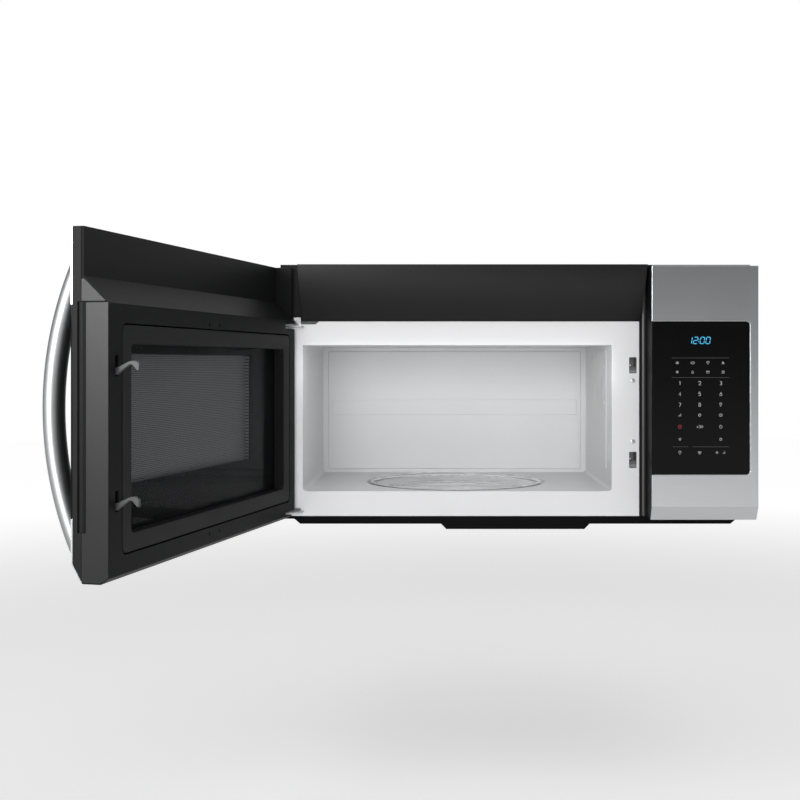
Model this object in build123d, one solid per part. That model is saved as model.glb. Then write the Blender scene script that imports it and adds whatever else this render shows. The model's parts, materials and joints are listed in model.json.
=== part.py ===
from build123d import *
import math
import os

os.makedirs("parts", exist_ok=True)

# All sizes are in millimetres. X = 0 at mid width, Y = 0 on the wall behind, the front faces -Y.
# Heights are first measured from the lowest face of the underside; write() then lowers every
# piece, so that Z = 0 ends up on the line of the wall slots in the back plate.
# Door pieces are drawn with the door shut and then turned to the open pose.

# ---- body ----------------------------------------------------------------------------------
body_width = 758.8
body_top = 427.0
case_depth = 347.0          # wall to the plane of the white front frame
front_reach = 50.0          # front frame to the outer face of door and control panel
sheet = 1.2                 # thickness of the folded cabinet sheets
screw_head = 3.5
screw_head_height = 1.5
screw_shank = 1.6
fit_gap = 0.3               # air around a piece that lies in a cut-out
soft_gap = 0.3              # air between curved faces of pieces that move apart
running_gap = 0.05          # radial play of a shaft in its hole
case_flange = 13.2
case_screw_front = 48.6     # front frame plane to the first case screw
case_screw_rear = 60.0
wall_slot_height = 40.0
wall_slot_span = 600.0
wall_slot_length = 30.0
wall_slot_radius = 4.0
top_bolt_span = 508.0
top_bolt_radius = 3.6
top_bolt_setback = 57.0     # front frame plane to the bolts
cord_inset = 49.4           # right side of the body to the cord
cord_from_wall = 40.0
cord_bore = 4.5
cord_neck = 9.0
cord_flange = 4.0
cord_gland_depth = 7.0

# ---- underside -----------------------------------------------------------------------------
flange_z = 16.7             # side flanges above the lowest face
flange_reach = 22.4
lip_z = 8.6
lip_flank = 9.5
hump_half = 111.5
hump_flank = 8.5
opening_ledge = 5.5         # what lies over an opening rests on this much around it
lens_inset = 117.4          # side of the body to a lens's centre
lens_setback = 39.0
lens_width = 76.0
lens_depth = 50.0
lens_thickness = 2.0
filter_inset = 119.4
filter_spacing = 15.0       # between a lens and the grease filter behind it
filter_width = 142.0
filter_depth = 176.0
filter_thickness = 3.0
filter_rim = 7.0
filter_relief = 0.7
filter_tab_width = 20.0
filter_tab_drop = 5.0
filter_tab_setback = 14.0
lamp_bracket = 2.0
lamp_bracket_width = 24.0
lamp_bracket_height = 34.0
lamp_height = 20.0
lamp_socket_radius = 11.0
lamp_socket_length = 12.0
lamp_bulb_radius = 9.0
lamp_bulb_length = 39.0

# ---- front frame and cavity ----------------------------------------------------------------
frame_rise = 4.5            # side flanges of the underside to the frame's lower edge
frame_above = 38.0          # cavity's ceiling to the frame's upper edge
cavity_left_margin = 36.0
bay_reach = 223.6           # cavity's right wall to the right side of the body
cavity_floor = 61.0
blower_bay = 129.6          # cavity's ceiling to the body's top
cavity_rear_gap = 12.8
cavity_wall = 1.0
cavity_corner = 6.0
emboss = 2.0
emboss_corner = 5.0
emboss_slope = 40           # degrees
back_panel_margin = (9.0, 6.0)
back_band_margin = 17.0
back_band_height = 30.0
back_band_rise = 6.0        # band's middle above the cavity's middle
bay_floor_z = 58.0
latch_slot_width = 12.0
latch_slot_height = 26.0
latch_slot_corner = 1.5

# ---- waveguide port and lamp port in the cavity's right wall --------------------------------
port_setback = 95.0         # front frame plane to the port
port_length = 110.0
port_height = 90.0
port_drop = 17.4            # ceiling to the port's upper edge
cover_front = 13.0          # how far the waveguide cover passes the port on each side
cover_rear = 17.0
cover_below = 11.0
cover_above = 7.0
cover_thickness = 0.8
side_panel_margin = 20.0
side_panel_above = 5.4
side_panel_below = 31.0
lamp_port_gap = 9.0
lamp_port_width = 10.0
lamp_port_height = 9.0
lamp_port_drop = 13.4

# ---- turntable -----------------------------------------------------------------------------
tray_margin = 16.5          # tray's rim to the cavity's front and back
recess_gap = 6.0
recess_depth = 24.0
recess_hole = 8.0
tray_glass = 4.0
tray_height = 13.7
tray_flank = 30.0           # width of the tray's sloping rim
lug_track = 19.0
lug_width = 7.0
lug_height = 2.8
coupler_hub = 10.0
coupler_arm = 26.0
coupler_arm_width = 6.0
coupler_rise = 2.0          # recess floor to the coupler's underside
stem_radius = 3.5
stem_depth = 13.5
roller_radius = 4.85
roller_width = 8.0
roller_inset = 24.0         # edge of the tray's flat base to the rollers' middle
roller_start = 30           # degrees
ring_band = 9.0
ring_height = 3.4
axle_radius = 1.5
axle_root = 4.0
axle_head = 3.0
turntable_motor_radius = 25.0
turntable_motor_height = 18.0
turntable_ear_half = 34.0
turntable_ear_width = 12.0

# ---- front of the door and the control panel -----------------------------------------------
door_gap = 3.0
side_gap = 3.0
panel_width = 167.9
door_rise = 1.2             # door's lower edge under the frame's
top_gap = 5.4
bevel_rise = 22.0
bevel_depth = 12.5
skin = 2.2                  # thickness of the steel face and of the front glass
glass_above_bevel = 50.9
glass_drop = 2.0            # top of the glass under the frame's upper edge
glass_corner = 6.0
glass_margin = 14.0         # steel left beside the glass at the outer ends
plastic_wall = 2.5

# ---- door's inside -------------------------------------------------------------------------
door_frame_depth = 10.7
pan_sheet = 1.6
pan_slope = 30.5            # rise of the slope above the thick part
thin_depth = 16.0           # depth of the door above the slope
cheek_setback = 5.0         # pan's inner face to the edge of its side above the slope
toe_depth = 10.4
toe_rise = 7.0
edge_strip = 0.8
ring_left_overlap = 12.6    # choke ring beyond the cavity's mouth
ring_right_overlap = 21.2
ring_bottom_overlap = 11.0
ring_top_overlap = 14.1
ring_groove = 2.0
ring_corner = 9.0
ring_plate = 2.5
ring_wall = 2.0
ring_skirt = 8.0
ring_width = (25.0, 21.0)   # left and right
ring_heights = (21.0, 21.5)  # below and above
recess_corner = 6.0
window_depth = 16.4         # inner face of the door to the inner glass
inner_glass = 3.0
screen_margins = (90.0, 22.0, 54.0, 11.0)   # recess to screen: left, right, below, above
screen_flange = 4.0
screen_wall = 3.0
screen_depth = 6.2
window_grow = 20.0          # opening in the plastic frame beyond the screen
side_groove_depth = 3.0
side_groove_inner = 28.0
side_groove_below = 15.9    # groove beyond the glass
side_groove_above = 3.6
snap_places = (282.4, 314.6)

# ---- hinge ---------------------------------------------------------------------------------
door_open = 103.4           # degrees, the pose that the pieces are modelled in
hinge_inset = 8.4
hinge_setback = 17.5        # front frame plane to the hinge line
pin_radius = 3.0
pin_head = 5.0
pin_head_height = 2.0
pin_reach = 14.7
bush_radius = 6.0
bush_length = 15.8
bracket_plate = 2.0
bracket_width = 35.5
bracket_overhang = 6.0
bracket_front = 7.5         # hinge line to the bracket's front edge
bracket_corner = 2.0
bracket_tab = (17.1, 4.8)   # the upright flange, measured from the bracket's right edge
upper_tab_height = 14.1
lower_tab_height = 4.5
upper_bracket_drop = 9.7
lower_bracket_rise = 8.0
notch_reach = 32.0
notch_setback = 11.0
notch_gap = 3.2
hinge_block_wall = 2.5

# ---- handle --------------------------------------------------------------------------------
handle_inset = 26.0
handle_low = 28.0           # door's lower edge to the handle's foot
handle_high = 37.6
handle_rise = 38.0
handle_width = 28.0
handle_thickness = 21.0
handle_round = 7.0
handle_run_in = 3.0         # how far before its ends the bow's middle line meets the door
handle_screw_inset = 18.0
handle_screw_depth = 12.0
handle_screw_shank = 2.0
handle_screw_head = 4.5

# ---- latch ---------------------------------------------------------------------------------
latch_inset = 18.5
latch_thickness = 5.0
latch_play = 0.3
latch_travel = 4.0
latch_bar_inner = 8.0
latch_bar_depth = 18.0
latch_bar_ends = (19.0, 21.0)   # plate beyond the lower and the upper hook
hook_points = (             # a hook's outline from its root: depth into the cabinet, rise
    (0.7, -10.1), (16.7, 1.6), (20.0, 0.9),
    (26.0, -5.6), (28.0, -5.6), (28.6, 2.2), (24.0, 6.1),
    (16.7, 5.4), (0.0, -2.4),
)
hook_low = 50.7             # cavity's floor to the lower hook
hook_high = 32.7            # upper hook to the cavity's ceiling
guide_half = 7.0
guide_height = 16.0
guide_inset = 34.0          # hook to the middle of the nearer guide
spring_length = 20.0
spring_radius = 4.0
spring_wall = 1.0
spring_stop = 4.0
frame_screw_places = (30.0, -25.0)  # from the lower and from the upper hook
frame_screw_length = 12.0
housing_half = 12.0
housing_depth = 45.8
housing_above = 26.0
switch_depth = 16.0
switch_seat = 4.0
switch_half = 7.0
switch_below = 9.0
switch_above = 11.0
switch_proud = 6.0
plunger_radius = 1.5
plunger_gap = 0.8
plunger_reach = 3.0
plunger_travel = 1.2
keeper_depths = (8.0, 17.0, 22.0)   # from the door's inner face: front, crest and back
keeper_drops = (8.2, 2.4)

# ---- vent above the door opening -----------------------------------------------------------
vent_gap = 1.5              # top of the case to the cover's top
vent_reach = 28.0
vent_bottom_reach = 1.2
vent_bulge = 7.0
vent_wall = 2.2
vent_left_inset = (36.9, 30.4)  # at the bottom and at the top
vent_right_gap = 2.5
vent_slot = (34.0, 43.0)    # length and pitch of the outlet slots
vent_slot_count = 12
vent_slot_margins = (8.0, 7.0)
cap_gap = 0.6
cap_setback = 3.0
cap_lip = 2.4
cap_reach = 8.0
charcoal_width = 420.0
charcoal_depth = 18.0
charcoal_setback = 7.0
charcoal_rib = 8.0
charcoal_ribs = 9

# ---- control panel -------------------------------------------------------------------------
flange_overlap = 11.5       # panel's flange on the front plane, left of the panel
flange_band = 6.0
display_inset = 50.5
display_width = 54.0
display_drop = 13.4
display_height = 32.0
display_depth = 12.3
display_rim = 4.0
board_margin = 14.5
board_above_glass = 3.4
board_below_glass = 8.9
board_thickness = 1.6
board_coil = (14.0, 12.0, 36.0, 20.0)       # left, low, side, height on the board
board_relay = (64.0, 106.0, 18.0, 22.0, 15.0)   # from the right edge, low, width, length, height
board_relay_pitch = 34.0
board_can = (30.0, 76.0, 8.0, 24.0)         # left, low, radius, height on the board
boss_radius = 4.0
boss_inset = 6.0

# ---- microwave source and fans -------------------------------------------------------------
guide_length = 40.2
guide_margin = (10.0, 5.0)
magnetron_plate = 2.0
magnetron_width = 95.0
magnetron_height = 82.0
antenna_radius = 9.5
anode_radius = 19.0
yoke_depth = 60.0
yoke_half = 38.0
fin_count = 7
fin_pitch = 6.0
filter_box_depth = 26.0
core_offset = 49.2
core_setback = 57.0
core_width = 96.0
core_depth = 60.0
core_height = 80.0
core_leg = 16.0
core_window = 18.0
coil_overhang = 14.0
coil_gap = 2.0
capacitor_inset = 39.4
capacitor_length = 54.0
capacitor_width = 34.0
capacitor_height = 88.0
fan_offset = 113.2
fan_half = 65.0
fan_hole = 56.0
fan_blade_radius = 52.0
fan_depth = 60.8
fan_arm = 14.0
fan_arm_depth = 4.8
fan_motor_radius = 26.0
fan_motor_length = 26.0
fan_hub_radius = 13.0
fan_shaft_radius = 2.5
fan_blade_count = 5
blower_from_wall = 70.0
blower_half = 66.0          # shaft to the housing's front
blower_sheet = 1.6
blower_clearance = 13.7     # wheels to the housing's floor and ceiling
wheel_inner = 46.0
wheel_outer = 106.0
wheel_blades = 20
wheel_blade_depth = 8.0
inlet_inset = 14.0
blower_end_gap = 9.0
blower_motor_half = 35.0
blower_foot_half = 24.0
blower_shaft_radius = 4.0

# ---- places that follow from the sizes -----------------------------------------------------
half = body_width / 2
frame_y = -case_depth
frame_back = frame_y + sheet
outer_y = frame_y - front_reach
frame_bottom = flange_z + frame_rise
cavity_top = body_top - blower_bay
cavity_height = cavity_top - cavity_floor
frame_top = cavity_top + frame_above
cavity_left = -half + cavity_left_margin
cavity_right = half - bay_reach
cavity_x = (cavity_left, cavity_right)
cavity_centre = (cavity_left + cavity_right) / 2
cavity_back = -cavity_rear_gap
cavity_roof = cavity_top + cavity_wall
bay_left = cavity_right + cavity_wall
bay_floor_top = bay_floor_z + sheet
pan_floor = lip_z + sheet
case_top = body_top - sheet
cord_place = (half - cord_inset, -cord_from_wall)
lens_x = half - lens_inset
lens_y = frame_y + lens_setback
filter_x = half - filter_inset
filter_y = lens_y + lens_depth / 2 + filter_spacing + filter_depth / 2

tray_y = (frame_back + cavity_back) / 2
tray_radius = (cavity_back - frame_back) / 2 - tray_margin
tray_base_radius = tray_radius - tray_flank
tray_low = cavity_floor - tray_height
recess_floor = cavity_floor - recess_depth
recess_radius = tray_radius + recess_gap
recess_under = recess_floor - cavity_wall
roller_track = tray_base_radius - roller_inset
roller_z = recess_floor + soft_gap + roller_radius

panel_left = half - panel_width
frame_right = panel_left - flange_overlap
door_left = -half
door_right = panel_left - side_gap
door_x = (door_left, door_right)
door_inner_y = frame_y - door_gap
door_bottom = frame_bottom - door_rise
door_top = body_top - top_gap
skin_back = outer_y + skin
pan_front = skin_back + door_frame_depth
bevel_z = door_bottom + bevel_rise
toe_y = outer_y + bevel_depth + skin
heel_y = door_inner_y - toe_depth
thin_y = outer_y + thin_depth
slope = pan_slope / (door_inner_y - thin_y)
glass_bottom = bevel_z + glass_above_bevel
glass_top = frame_top - glass_drop
glass_face = door_inner_y - window_depth
pocket_floor = glass_face - inner_glass
pan_right = door_right - edge_strip

ring_x = (cavity_left - ring_left_overlap, cavity_right + ring_right_overlap)
ring_z = (cavity_floor - ring_bottom_overlap, cavity_top + ring_top_overlap)
recess_x = (ring_x[0] + ring_width[0], ring_x[1] - ring_width[1])
recess_z = (ring_z[0] + ring_heights[0], ring_z[1] - ring_heights[1])
screen_x = (recess_x[0] + screen_margins[0], recess_x[1] - screen_margins[1])
screen_z = (recess_z[0] + screen_margins[2], recess_z[1] - screen_margins[3])
groove_z = (glass_bottom - side_groove_below, glass_top + side_groove_above)

hinge_x = door_left + hinge_inset
hinge_y = frame_y - hinge_setback
upper_bracket_z = frame_top - upper_bracket_drop
lower_bracket_z = door_bottom + lower_bracket_rise
upper_bracket_top = upper_bracket_z + bracket_plate
lower_bracket_top = lower_bracket_z + bracket_plate
hinge_line = Axis((hinge_x, hinge_y, 0), (0, 0, 1))

handle_x = door_right - handle_inset
handle_z = (door_bottom + handle_low, door_top - handle_high)
handle_screw_z = (handle_z[0] + handle_screw_inset, handle_z[1] - handle_screw_inset)

latch_x = door_right - latch_inset
hook_z = (cavity_floor + hook_low, cavity_top - hook_high)
bar_z = (hook_z[0] - latch_bar_ends[0], hook_z[1] + latch_bar_ends[1])
bar_inner_y = door_inner_y - latch_bar_inner
spring_y = bar_inner_y - latch_bar_depth / 2
frame_screw_z = (hook_z[0] + frame_screw_places[0], hook_z[1] + frame_screw_places[1])
housing_back = frame_back + housing_depth
pocket_back = housing_back - switch_depth
switch_front = pocket_back + switch_seat
switch_z = (hook_z[0], (hook_z[0] + hook_z[1]) / 2, hook_z[1])

port_y = (frame_y + port_setback, frame_y + port_setback + port_length)
port_z = (cavity_top - port_drop - port_height, cavity_top - port_drop)
cover_y = (port_y[0] - cover_front, port_y[1] + cover_rear)
cover_z = (port_z[0] - cover_below, port_z[1] + cover_above)
lamp_port_y = (cover_y[1] + lamp_port_gap, cover_y[1] + lamp_port_gap + lamp_port_width)
lamp_port_z = (cavity_top - lamp_port_drop - lamp_port_height, cavity_top - lamp_port_drop)

vent_top = body_top - vent_gap
vent_left = (-half + vent_left_inset[0], -half + vent_left_inset[1])
vent_right = (frame_right, panel_left - vent_right_gap)

fan_x = bay_left + fan_offset
fan_z = bay_floor_top + fan_half
blower_y = -blower_from_wall
blower_z = (cavity_roof + case_top) / 2
wheel_radius = (case_top - cavity_roof) / 2 - blower_clearance
blower_motor_radius = wheel_radius - 12


# ---- helpers -------------------------------------------------------------------------------
def box(x, y, z):
    """A box between (low, high) limits along X, Y and Z."""
    limits = (x, y, z)
    size = [high - low for low, high in limits]
    middle = [(low + high) / 2 for low, high in limits]
    return Pos(*middle) * Box(*size)


def around(centre, reach):
    """Limits at equal distances on both sides of a place."""
    return centre - reach, centre + reach


def inset(limits, amount):
    """Limits drawn in at both ends, or moved out by a negative amount."""
    return limits[0] + amount, limits[1] - amount


def past(limits, amount=1.0):
    """Limits moved out at both ends, for a cut that goes right through."""
    return limits[0] - amount, limits[1] + amount


def middle(limits):
    """Half way between two limits."""
    return sum(limits) / 2


def rod_x(y, z, radius, x):
    """A cylinder along X between two places."""
    return Pos(middle(x), y, z) * Rot(0, 90, 0) * Cylinder(radius, x[1] - x[0])


def rod_y(x, z, radius, y):
    """A cylinder along Y between two places."""
    return Pos(x, middle(y), z) * Rot(90, 0, 0) * Cylinder(radius, y[1] - y[0])


def rod_z(x, y, radius, z):
    """A cylinder along Z between two heights."""
    return Pos(x, y, middle(z)) * Cylinder(radius, z[1] - z[0])


def prism_x(points, x):
    """A prism along X whose section is a list of (y, z) points."""
    outline = make_face(Plane.YZ.offset(x[0]) * Polyline(*points, close=True))
    return extrude(outline, x[1] - x[0], dir=(1, 0, 0))


def slab(sketch, y):
    """A sketch drawn in (x, z), made solid between two places along Y."""
    return extrude(Plane.XZ.offset(-y[1]) * sketch, y[1] - y[0], dir=(0, -1, 0))


def prism_y(points, y):
    """A prism along Y whose section is a list of (x, z) points."""
    return slab(make_face(Polyline(*points, close=True)), y)


def rounded(x, z, radius):
    """A rounded rectangle in (x, z) between limits."""
    return Pos(middle(x), middle(z)) * RectangleRounded(x[1] - x[0], z[1] - z[0], radius)


def plain(x, z):
    """A rectangle in (x, z) between limits."""
    return Pos(middle(x), middle(z)) * Rectangle(x[1] - x[0], z[1] - z[0])


def group(solids):
    """Alike solids that share one node."""
    return Compound(children=list(solids))


def opened(piece):
    """Turns a door piece, drawn with the door shut, to the open pose."""
    return piece.rotate(hinge_line, -door_open)


def write(name, piece):
    """Lowers a piece to the wall slots' height and writes its solids."""
    lowered = [Pos(0, 0, -wall_slot_height) * solid for solid in piece.solids()]
    export_step(Compound(children=lowered), f"parts/{name}.step")


# ---- cabinet shells ------------------------------------------------------------------------
def case_screw_places():
    """Where the case is screwed to the underside's flanges, three on each side."""
    x = half - sheet - case_flange / 2
    front, rear = frame_y + case_screw_front, -case_screw_rear
    return [(side * x, y) for side in (-1, 1) for y in (front, (front + rear) / 2, rear)]


def outer_case():
    """Folded steel wrap: top, both sides and two inward flanges on the underside."""
    case = box((-half, half), (frame_y, -sheet), (flange_z, body_top))
    case -= box(inset((-half, half), sheet), (frame_y, -sheet), (flange_z, case_top))
    flange_top = flange_z + 2 * sheet
    for side in (-1, 1):
        ends = (side * (half - sheet), side * (half - sheet - case_flange))
        case += box(sorted(ends), (frame_back, -2 * sheet), (flange_z + sheet, flange_top))
    for x, y in case_screw_places():
        case -= rod_z(x, y, screw_shank, past((flange_z, flange_top)))
    top = past((case_top, body_top))
    for side in (-1, 1):
        case -= rod_z(side * top_bolt_span / 2, frame_y + top_bolt_setback, top_bolt_radius, top)
    return case - rod_z(*cord_place, cord_neck + fit_gap, top)


def underside_outline():
    """The underside's outer section in (x, z), from its left edge round to the right."""
    flange_x = half - flange_reach
    right = [
        (hump_half, 0),
        (hump_half + hump_flank, lip_z),
        (flange_x - lip_flank, lip_z),
        (flange_x, flange_z),
        (half - sheet, flange_z),
        (half - sheet, frame_bottom),
    ]
    left = [(-x, z) for x, z in reversed(right)]
    return make_face(Polyline(*left, *right, close=True))


def ledge_opening(x, y, width, depth):
    """Cut under a plate of that width and depth, leaving the ledge that it lies on."""
    x = around(x, width / 2 - opening_ledge)
    y = around(y, depth / 2 - opening_ledge)
    return box(x, y, past((lip_z, pan_floor)))


def base_plate():
    """Black underside with a lowered middle and openings for filters and lamps."""
    outline = underside_outline()
    inner_y = (frame_back, -2 * sheet)
    plate = slab(outline, (frame_y, -sheet))
    plate -= slab(offset(outline, -sheet, kind=Kind.INTERSECTION), inner_y)
    plate -= box(inset((-half, half), sheet), inner_y, (flange_z + sheet, frame_bottom + 1))
    for side in (-1, 1):
        plate -= ledge_opening(side * filter_x, filter_y, filter_width, filter_depth)
        plate -= ledge_opening(side * lens_x, lens_y, lens_width, lens_depth)
    for x, y in case_screw_places():
        plate -= rod_z(x, y, screw_shank, past((flange_z, flange_z + sheet)))
    return plate


def case_screws():
    """Screws from below through the underside into the case's flanges."""
    screws = []
    for x, y in case_screw_places():
        head = rod_z(x, y, screw_head, (flange_z - screw_head_height, flange_z))
        screws.append(head + rod_z(x, y, screw_shank, (flange_z - 1, flange_z + 3 * sheet)))
    return group(screws)


def back_plate():
    """Flat rear sheet with two slots that hang on the wall plate's hooks."""
    plate = box((-half, half), (-sheet, 0), (flange_z, body_top))
    slot = SlotOverall(wall_slot_length, 2 * wall_slot_radius)
    for side in (-1, 1):
        plate -= slab(Pos(side * wall_slot_span / 2, wall_slot_height) * slot, past((-sheet, 0)))
    return plate


def bay_floor():
    """Shelf under the component bay, right of the cavity."""
    return box((bay_left, half - sheet), (frame_back, -sheet), (bay_floor_z, bay_floor_top))


def cavity_section(grow=0.0):
    """The cavity's section: square upper corners and rounded lower ones."""
    x = inset(cavity_x, -grow)
    z = inset((cavity_floor, cavity_top), -grow)
    return rounded(x, z, cavity_corner + grow) + plain(x, (middle(z), z[1]))


def front_frame():
    """White enamelled frame around the cavity's mouth, with the latch slots."""
    sheet_y = (frame_y, frame_back)
    frame = slab(plain((-half + sheet, frame_right), (frame_bottom, frame_top)), sheet_y)
    frame -= slab(cavity_section(), past(sheet_y))
    for z in hook_z:
        slot = RectangleRounded(latch_slot_width, latch_slot_height, latch_slot_corner)
        frame -= slab(Pos(latch_x, z) * slot, past(sheet_y))
    for z in frame_screw_z:
        frame -= rod_y(latch_x, z, screw_shank, past(sheet_y))
    return frame


def raised_panel(plane, width, height, rise):
    """A pressed panel that stands out of a cavity wall, with sloping edges."""
    return extrude(plane * RectangleRounded(width, height, emboss_corner), rise, taper=emboss_slope)


def back_wall_panels():
    """The large pressed panel of the back wall and the shallow band across it."""
    width = cavity_right - cavity_left
    back = Plane.XZ.offset(-cavity_back) * Pos(cavity_centre, middle((cavity_floor, cavity_top)))
    panel_size = (width - 2 * back_panel_margin[0], cavity_height - 2 * back_panel_margin[1])
    band = back * Pos(0, back_band_rise, emboss)
    panels = raised_panel(back, *panel_size, emboss)
    return panels + raised_panel(band, width - 2 * back_band_margin, back_band_height, emboss / 2)


def side_wall_panel():
    """The pressed panel of the right wall, which carries the waveguide cover."""
    y = (port_y[0] - 2 * side_panel_margin + lamp_port_gap / 2, port_y[1] + side_panel_margin)
    z = (cavity_floor + side_panel_below, cavity_top - side_panel_above)
    plane = Plane((cavity_right, middle(y), middle(z)), x_dir=(0, 1, 0), z_dir=(-1, 0, 0))
    return raised_panel(plane, y[1] - y[0], z[1] - z[0], emboss / 2)


def cavity_box():
    """Sheet box with a round floor recess and pressed panels in two of its walls."""
    cavity = slab(cavity_section(cavity_wall), (frame_back, cavity_back + cavity_wall))
    place = (cavity_centre, tray_y)
    cavity += rod_z(*place, recess_radius + cavity_wall, (recess_under, cavity_floor))
    cavity -= slab(cavity_section(), (frame_back - 1, cavity_back))
    cavity -= rod_z(*place, recess_radius, (recess_floor, cavity_floor + 1))
    cavity -= rod_z(*place, recess_hole, past((recess_under, recess_floor)))
    cavity += back_wall_panels()
    cavity += side_wall_panel()
    wall = (cavity_right - emboss, cavity_right + 2 * cavity_wall)
    cavity -= box(wall, port_y, port_z)
    return cavity - box(wall, lamp_port_y, lamp_port_z)


def mica_cover():
    """Thin cover over the waveguide's port in the right wall."""
    x = cavity_right - emboss / 2
    return box((x - cover_thickness, x), cover_y, cover_z)


# ---- vent above the door opening -----------------------------------------------------------
def vent_section(wall):
    """The cover's section in (y, z), drawn in by a wall: an arc in front, straight behind."""
    low = Vector(frame_y - vent_bottom_reach + wall, frame_top + wall)
    high = Vector(frame_y - vent_reach + wall, vent_top - wall)
    along = high - low
    forward = Vector(-along.Y, along.X).normalized()
    arc = ThreePointArc(low, (low + high) * 0.5 + forward * vent_bulge, high)
    back = Polyline(high, (frame_y + wall, high.Y), (frame_y + wall, low.Y), low)
    return extrude(make_face(Plane.YZ.offset(-half) * (arc + back)), body_width, dir=(1, 0, 0))


def vent_front(wall):
    """The cover seen from the front, wider at the top and drawn in by a wall."""
    points = [
        (vent_left[0] + wall, frame_top),
        (vent_right[0] - wall, frame_top),
        (vent_right[1] - wall, vent_top),
        (vent_left[1] + wall, vent_top),
    ]
    return prism_y(points, (frame_y - vent_reach - 2 * vent_bulge, frame_y + 1))


def vent_cover():
    """Curved glossy cover, open behind, with a row of outlet slots in its top."""
    cover = vent_section(0) & vent_front(0)
    cover -= vent_section(vent_wall) & vent_front(vent_wall)
    length, pitch = vent_slot
    first = (vent_left[0] + vent_right[0] - pitch * (vent_slot_count - 1)) / 2
    y = (frame_y - vent_reach + vent_slot_margins[0], frame_y - vent_slot_margins[1])
    for index in range(vent_slot_count):
        x = around(first + index * pitch, length / 2)
        cover -= box(x, y, past((vent_top - vent_wall, vent_top)))
    return cover


def vent_end_cap():
    """Black plate from the curved cover to the left side of the body, with a lip along the cover."""
    slant = (vent_left[1] - vent_left[0]) / (vent_top - frame_top)
    low = upper_bracket_top + upper_tab_height + cap_gap
    low_x = vent_left[0] + slant * (low - frame_top) - cap_gap
    top_x = vent_left[1] - cap_gap
    lip = [(low_x - cap_lip, low), (low_x, low), (top_x, vent_top), (top_x - cap_lip, vent_top)]
    plate = box((-half + sheet, vent_left[0] + cap_setback), (frame_y, frame_back), (frame_top, vent_top))
    return plate + prism_y(lip, (frame_y - cap_reach, frame_y))


def charcoal_filter():
    """Ribbed charcoal block that stands on the cavity behind the vent cover."""
    x = around(cavity_centre, charcoal_width / 2)
    front = frame_y + charcoal_setback
    z = (cavity_roof, case_top - 1)
    block = box(x, (front, front + charcoal_depth), z)
    pitch = charcoal_width / (charcoal_ribs + 1)
    for index in range(charcoal_ribs):
        groove = around(x[0] + pitch * (index + 1), charcoal_rib / 2)
        block -= box(groove, (front, front + charcoal_depth / 4), inset(z, charcoal_rib))
    return block


# ---- hinge on the cabinet ------------------------------------------------------------------
def hinge_bracket(low, tab_height):
    """Plate that carries a hinge pin, with an upright tab on the front frame."""
    left = hinge_x - bracket_overhang
    right = left + bracket_width
    front = hinge_y - bracket_front
    top = low + bracket_plate
    plate = box((left, right), (front, frame_y), (low, top))
    plate -= rod_z(hinge_x, hinge_y, pin_radius, past((low, top)))
    front_corners = plate.edges().filter_by(Axis.Z).group_by(Axis.Y)[0]
    plate = fillet(front_corners, bracket_corner)
    tab = (right - bracket_tab[0], right - bracket_tab[1])
    return plate + box(tab, (frame_y - bracket_plate, frame_y), (top, top + tab_height))


def hinge_bracket_upper():
    """Upper hinge bracket."""
    return hinge_bracket(upper_bracket_z, upper_tab_height)


def hinge_bracket_lower():
    """Lower hinge bracket."""
    return hinge_bracket(lower_bracket_z, lower_tab_height)


def hinge_pins():
    """One headed pin riveted in each bracket."""
    place = (hinge_x, hinge_y)
    upper = rod_z(*place, pin_radius, (upper_bracket_z - pin_reach, upper_bracket_top))
    upper += rod_z(*place, pin_head, (upper_bracket_top, upper_bracket_top + pin_head_height))
    lower = rod_z(*place, pin_radius, (lower_bracket_z, lower_bracket_top + pin_reach))
    lower += rod_z(*place, pin_head, (lower_bracket_z - pin_head_height, lower_bracket_z))
    return group([upper, lower])


# ---- control panel -------------------------------------------------------------------------
def front_profile(front, back, top, bottom):
    """Section in (y, z) of a front that starts at a plane and slants in at the bottom."""
    slant_end = min(back, front + bevel_depth)
    low = max(bevel_z - bevel_rise * (slant_end - front) / bevel_depth, bottom)
    points = [(front, top), (front, bevel_z), (slant_end, low)]
    if back > slant_end:
        points.append((back, low))
    return points + [(back, top)]


def skin_profile():
    """Section of the bent steel face, the same on door and panel."""
    bottom = outer_y + bevel_depth
    return [
        (outer_y, bevel_z),
        (outer_y, door_top),
        (skin_back, door_top),
        (skin_back, bevel_z),
        (bottom + skin, door_bottom),
        (bottom, door_bottom),
    ]


def glass_outline(flat, curved, gap=0.0):
    """Outline of a front glass: square corners at x = flat, rounded ones at x = curved."""
    x = sorted((flat, curved + math.copysign(gap, curved - flat)))
    z = (glass_bottom - gap, glass_top + gap)
    flat_part = sorted((flat, (flat + curved) / 2))
    return rounded(x, z, glass_corner + gap) + plain(flat_part, z)


def boss_places():
    """Where the circuit board is screwed to the panel's housing."""
    x = inset((panel_left + board_margin, half - board_margin), boss_inset)
    z = inset((glass_bottom - board_below_glass, glass_top - board_above_glass), boss_inset)
    return [(column, row) for column in x for row in z]


def display_limits():
    """Limits in x and z of the display's window."""
    x = (panel_left + display_inset, panel_left + display_inset + display_width)
    top = glass_top - display_drop
    return x, (top - display_height, top)


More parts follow.
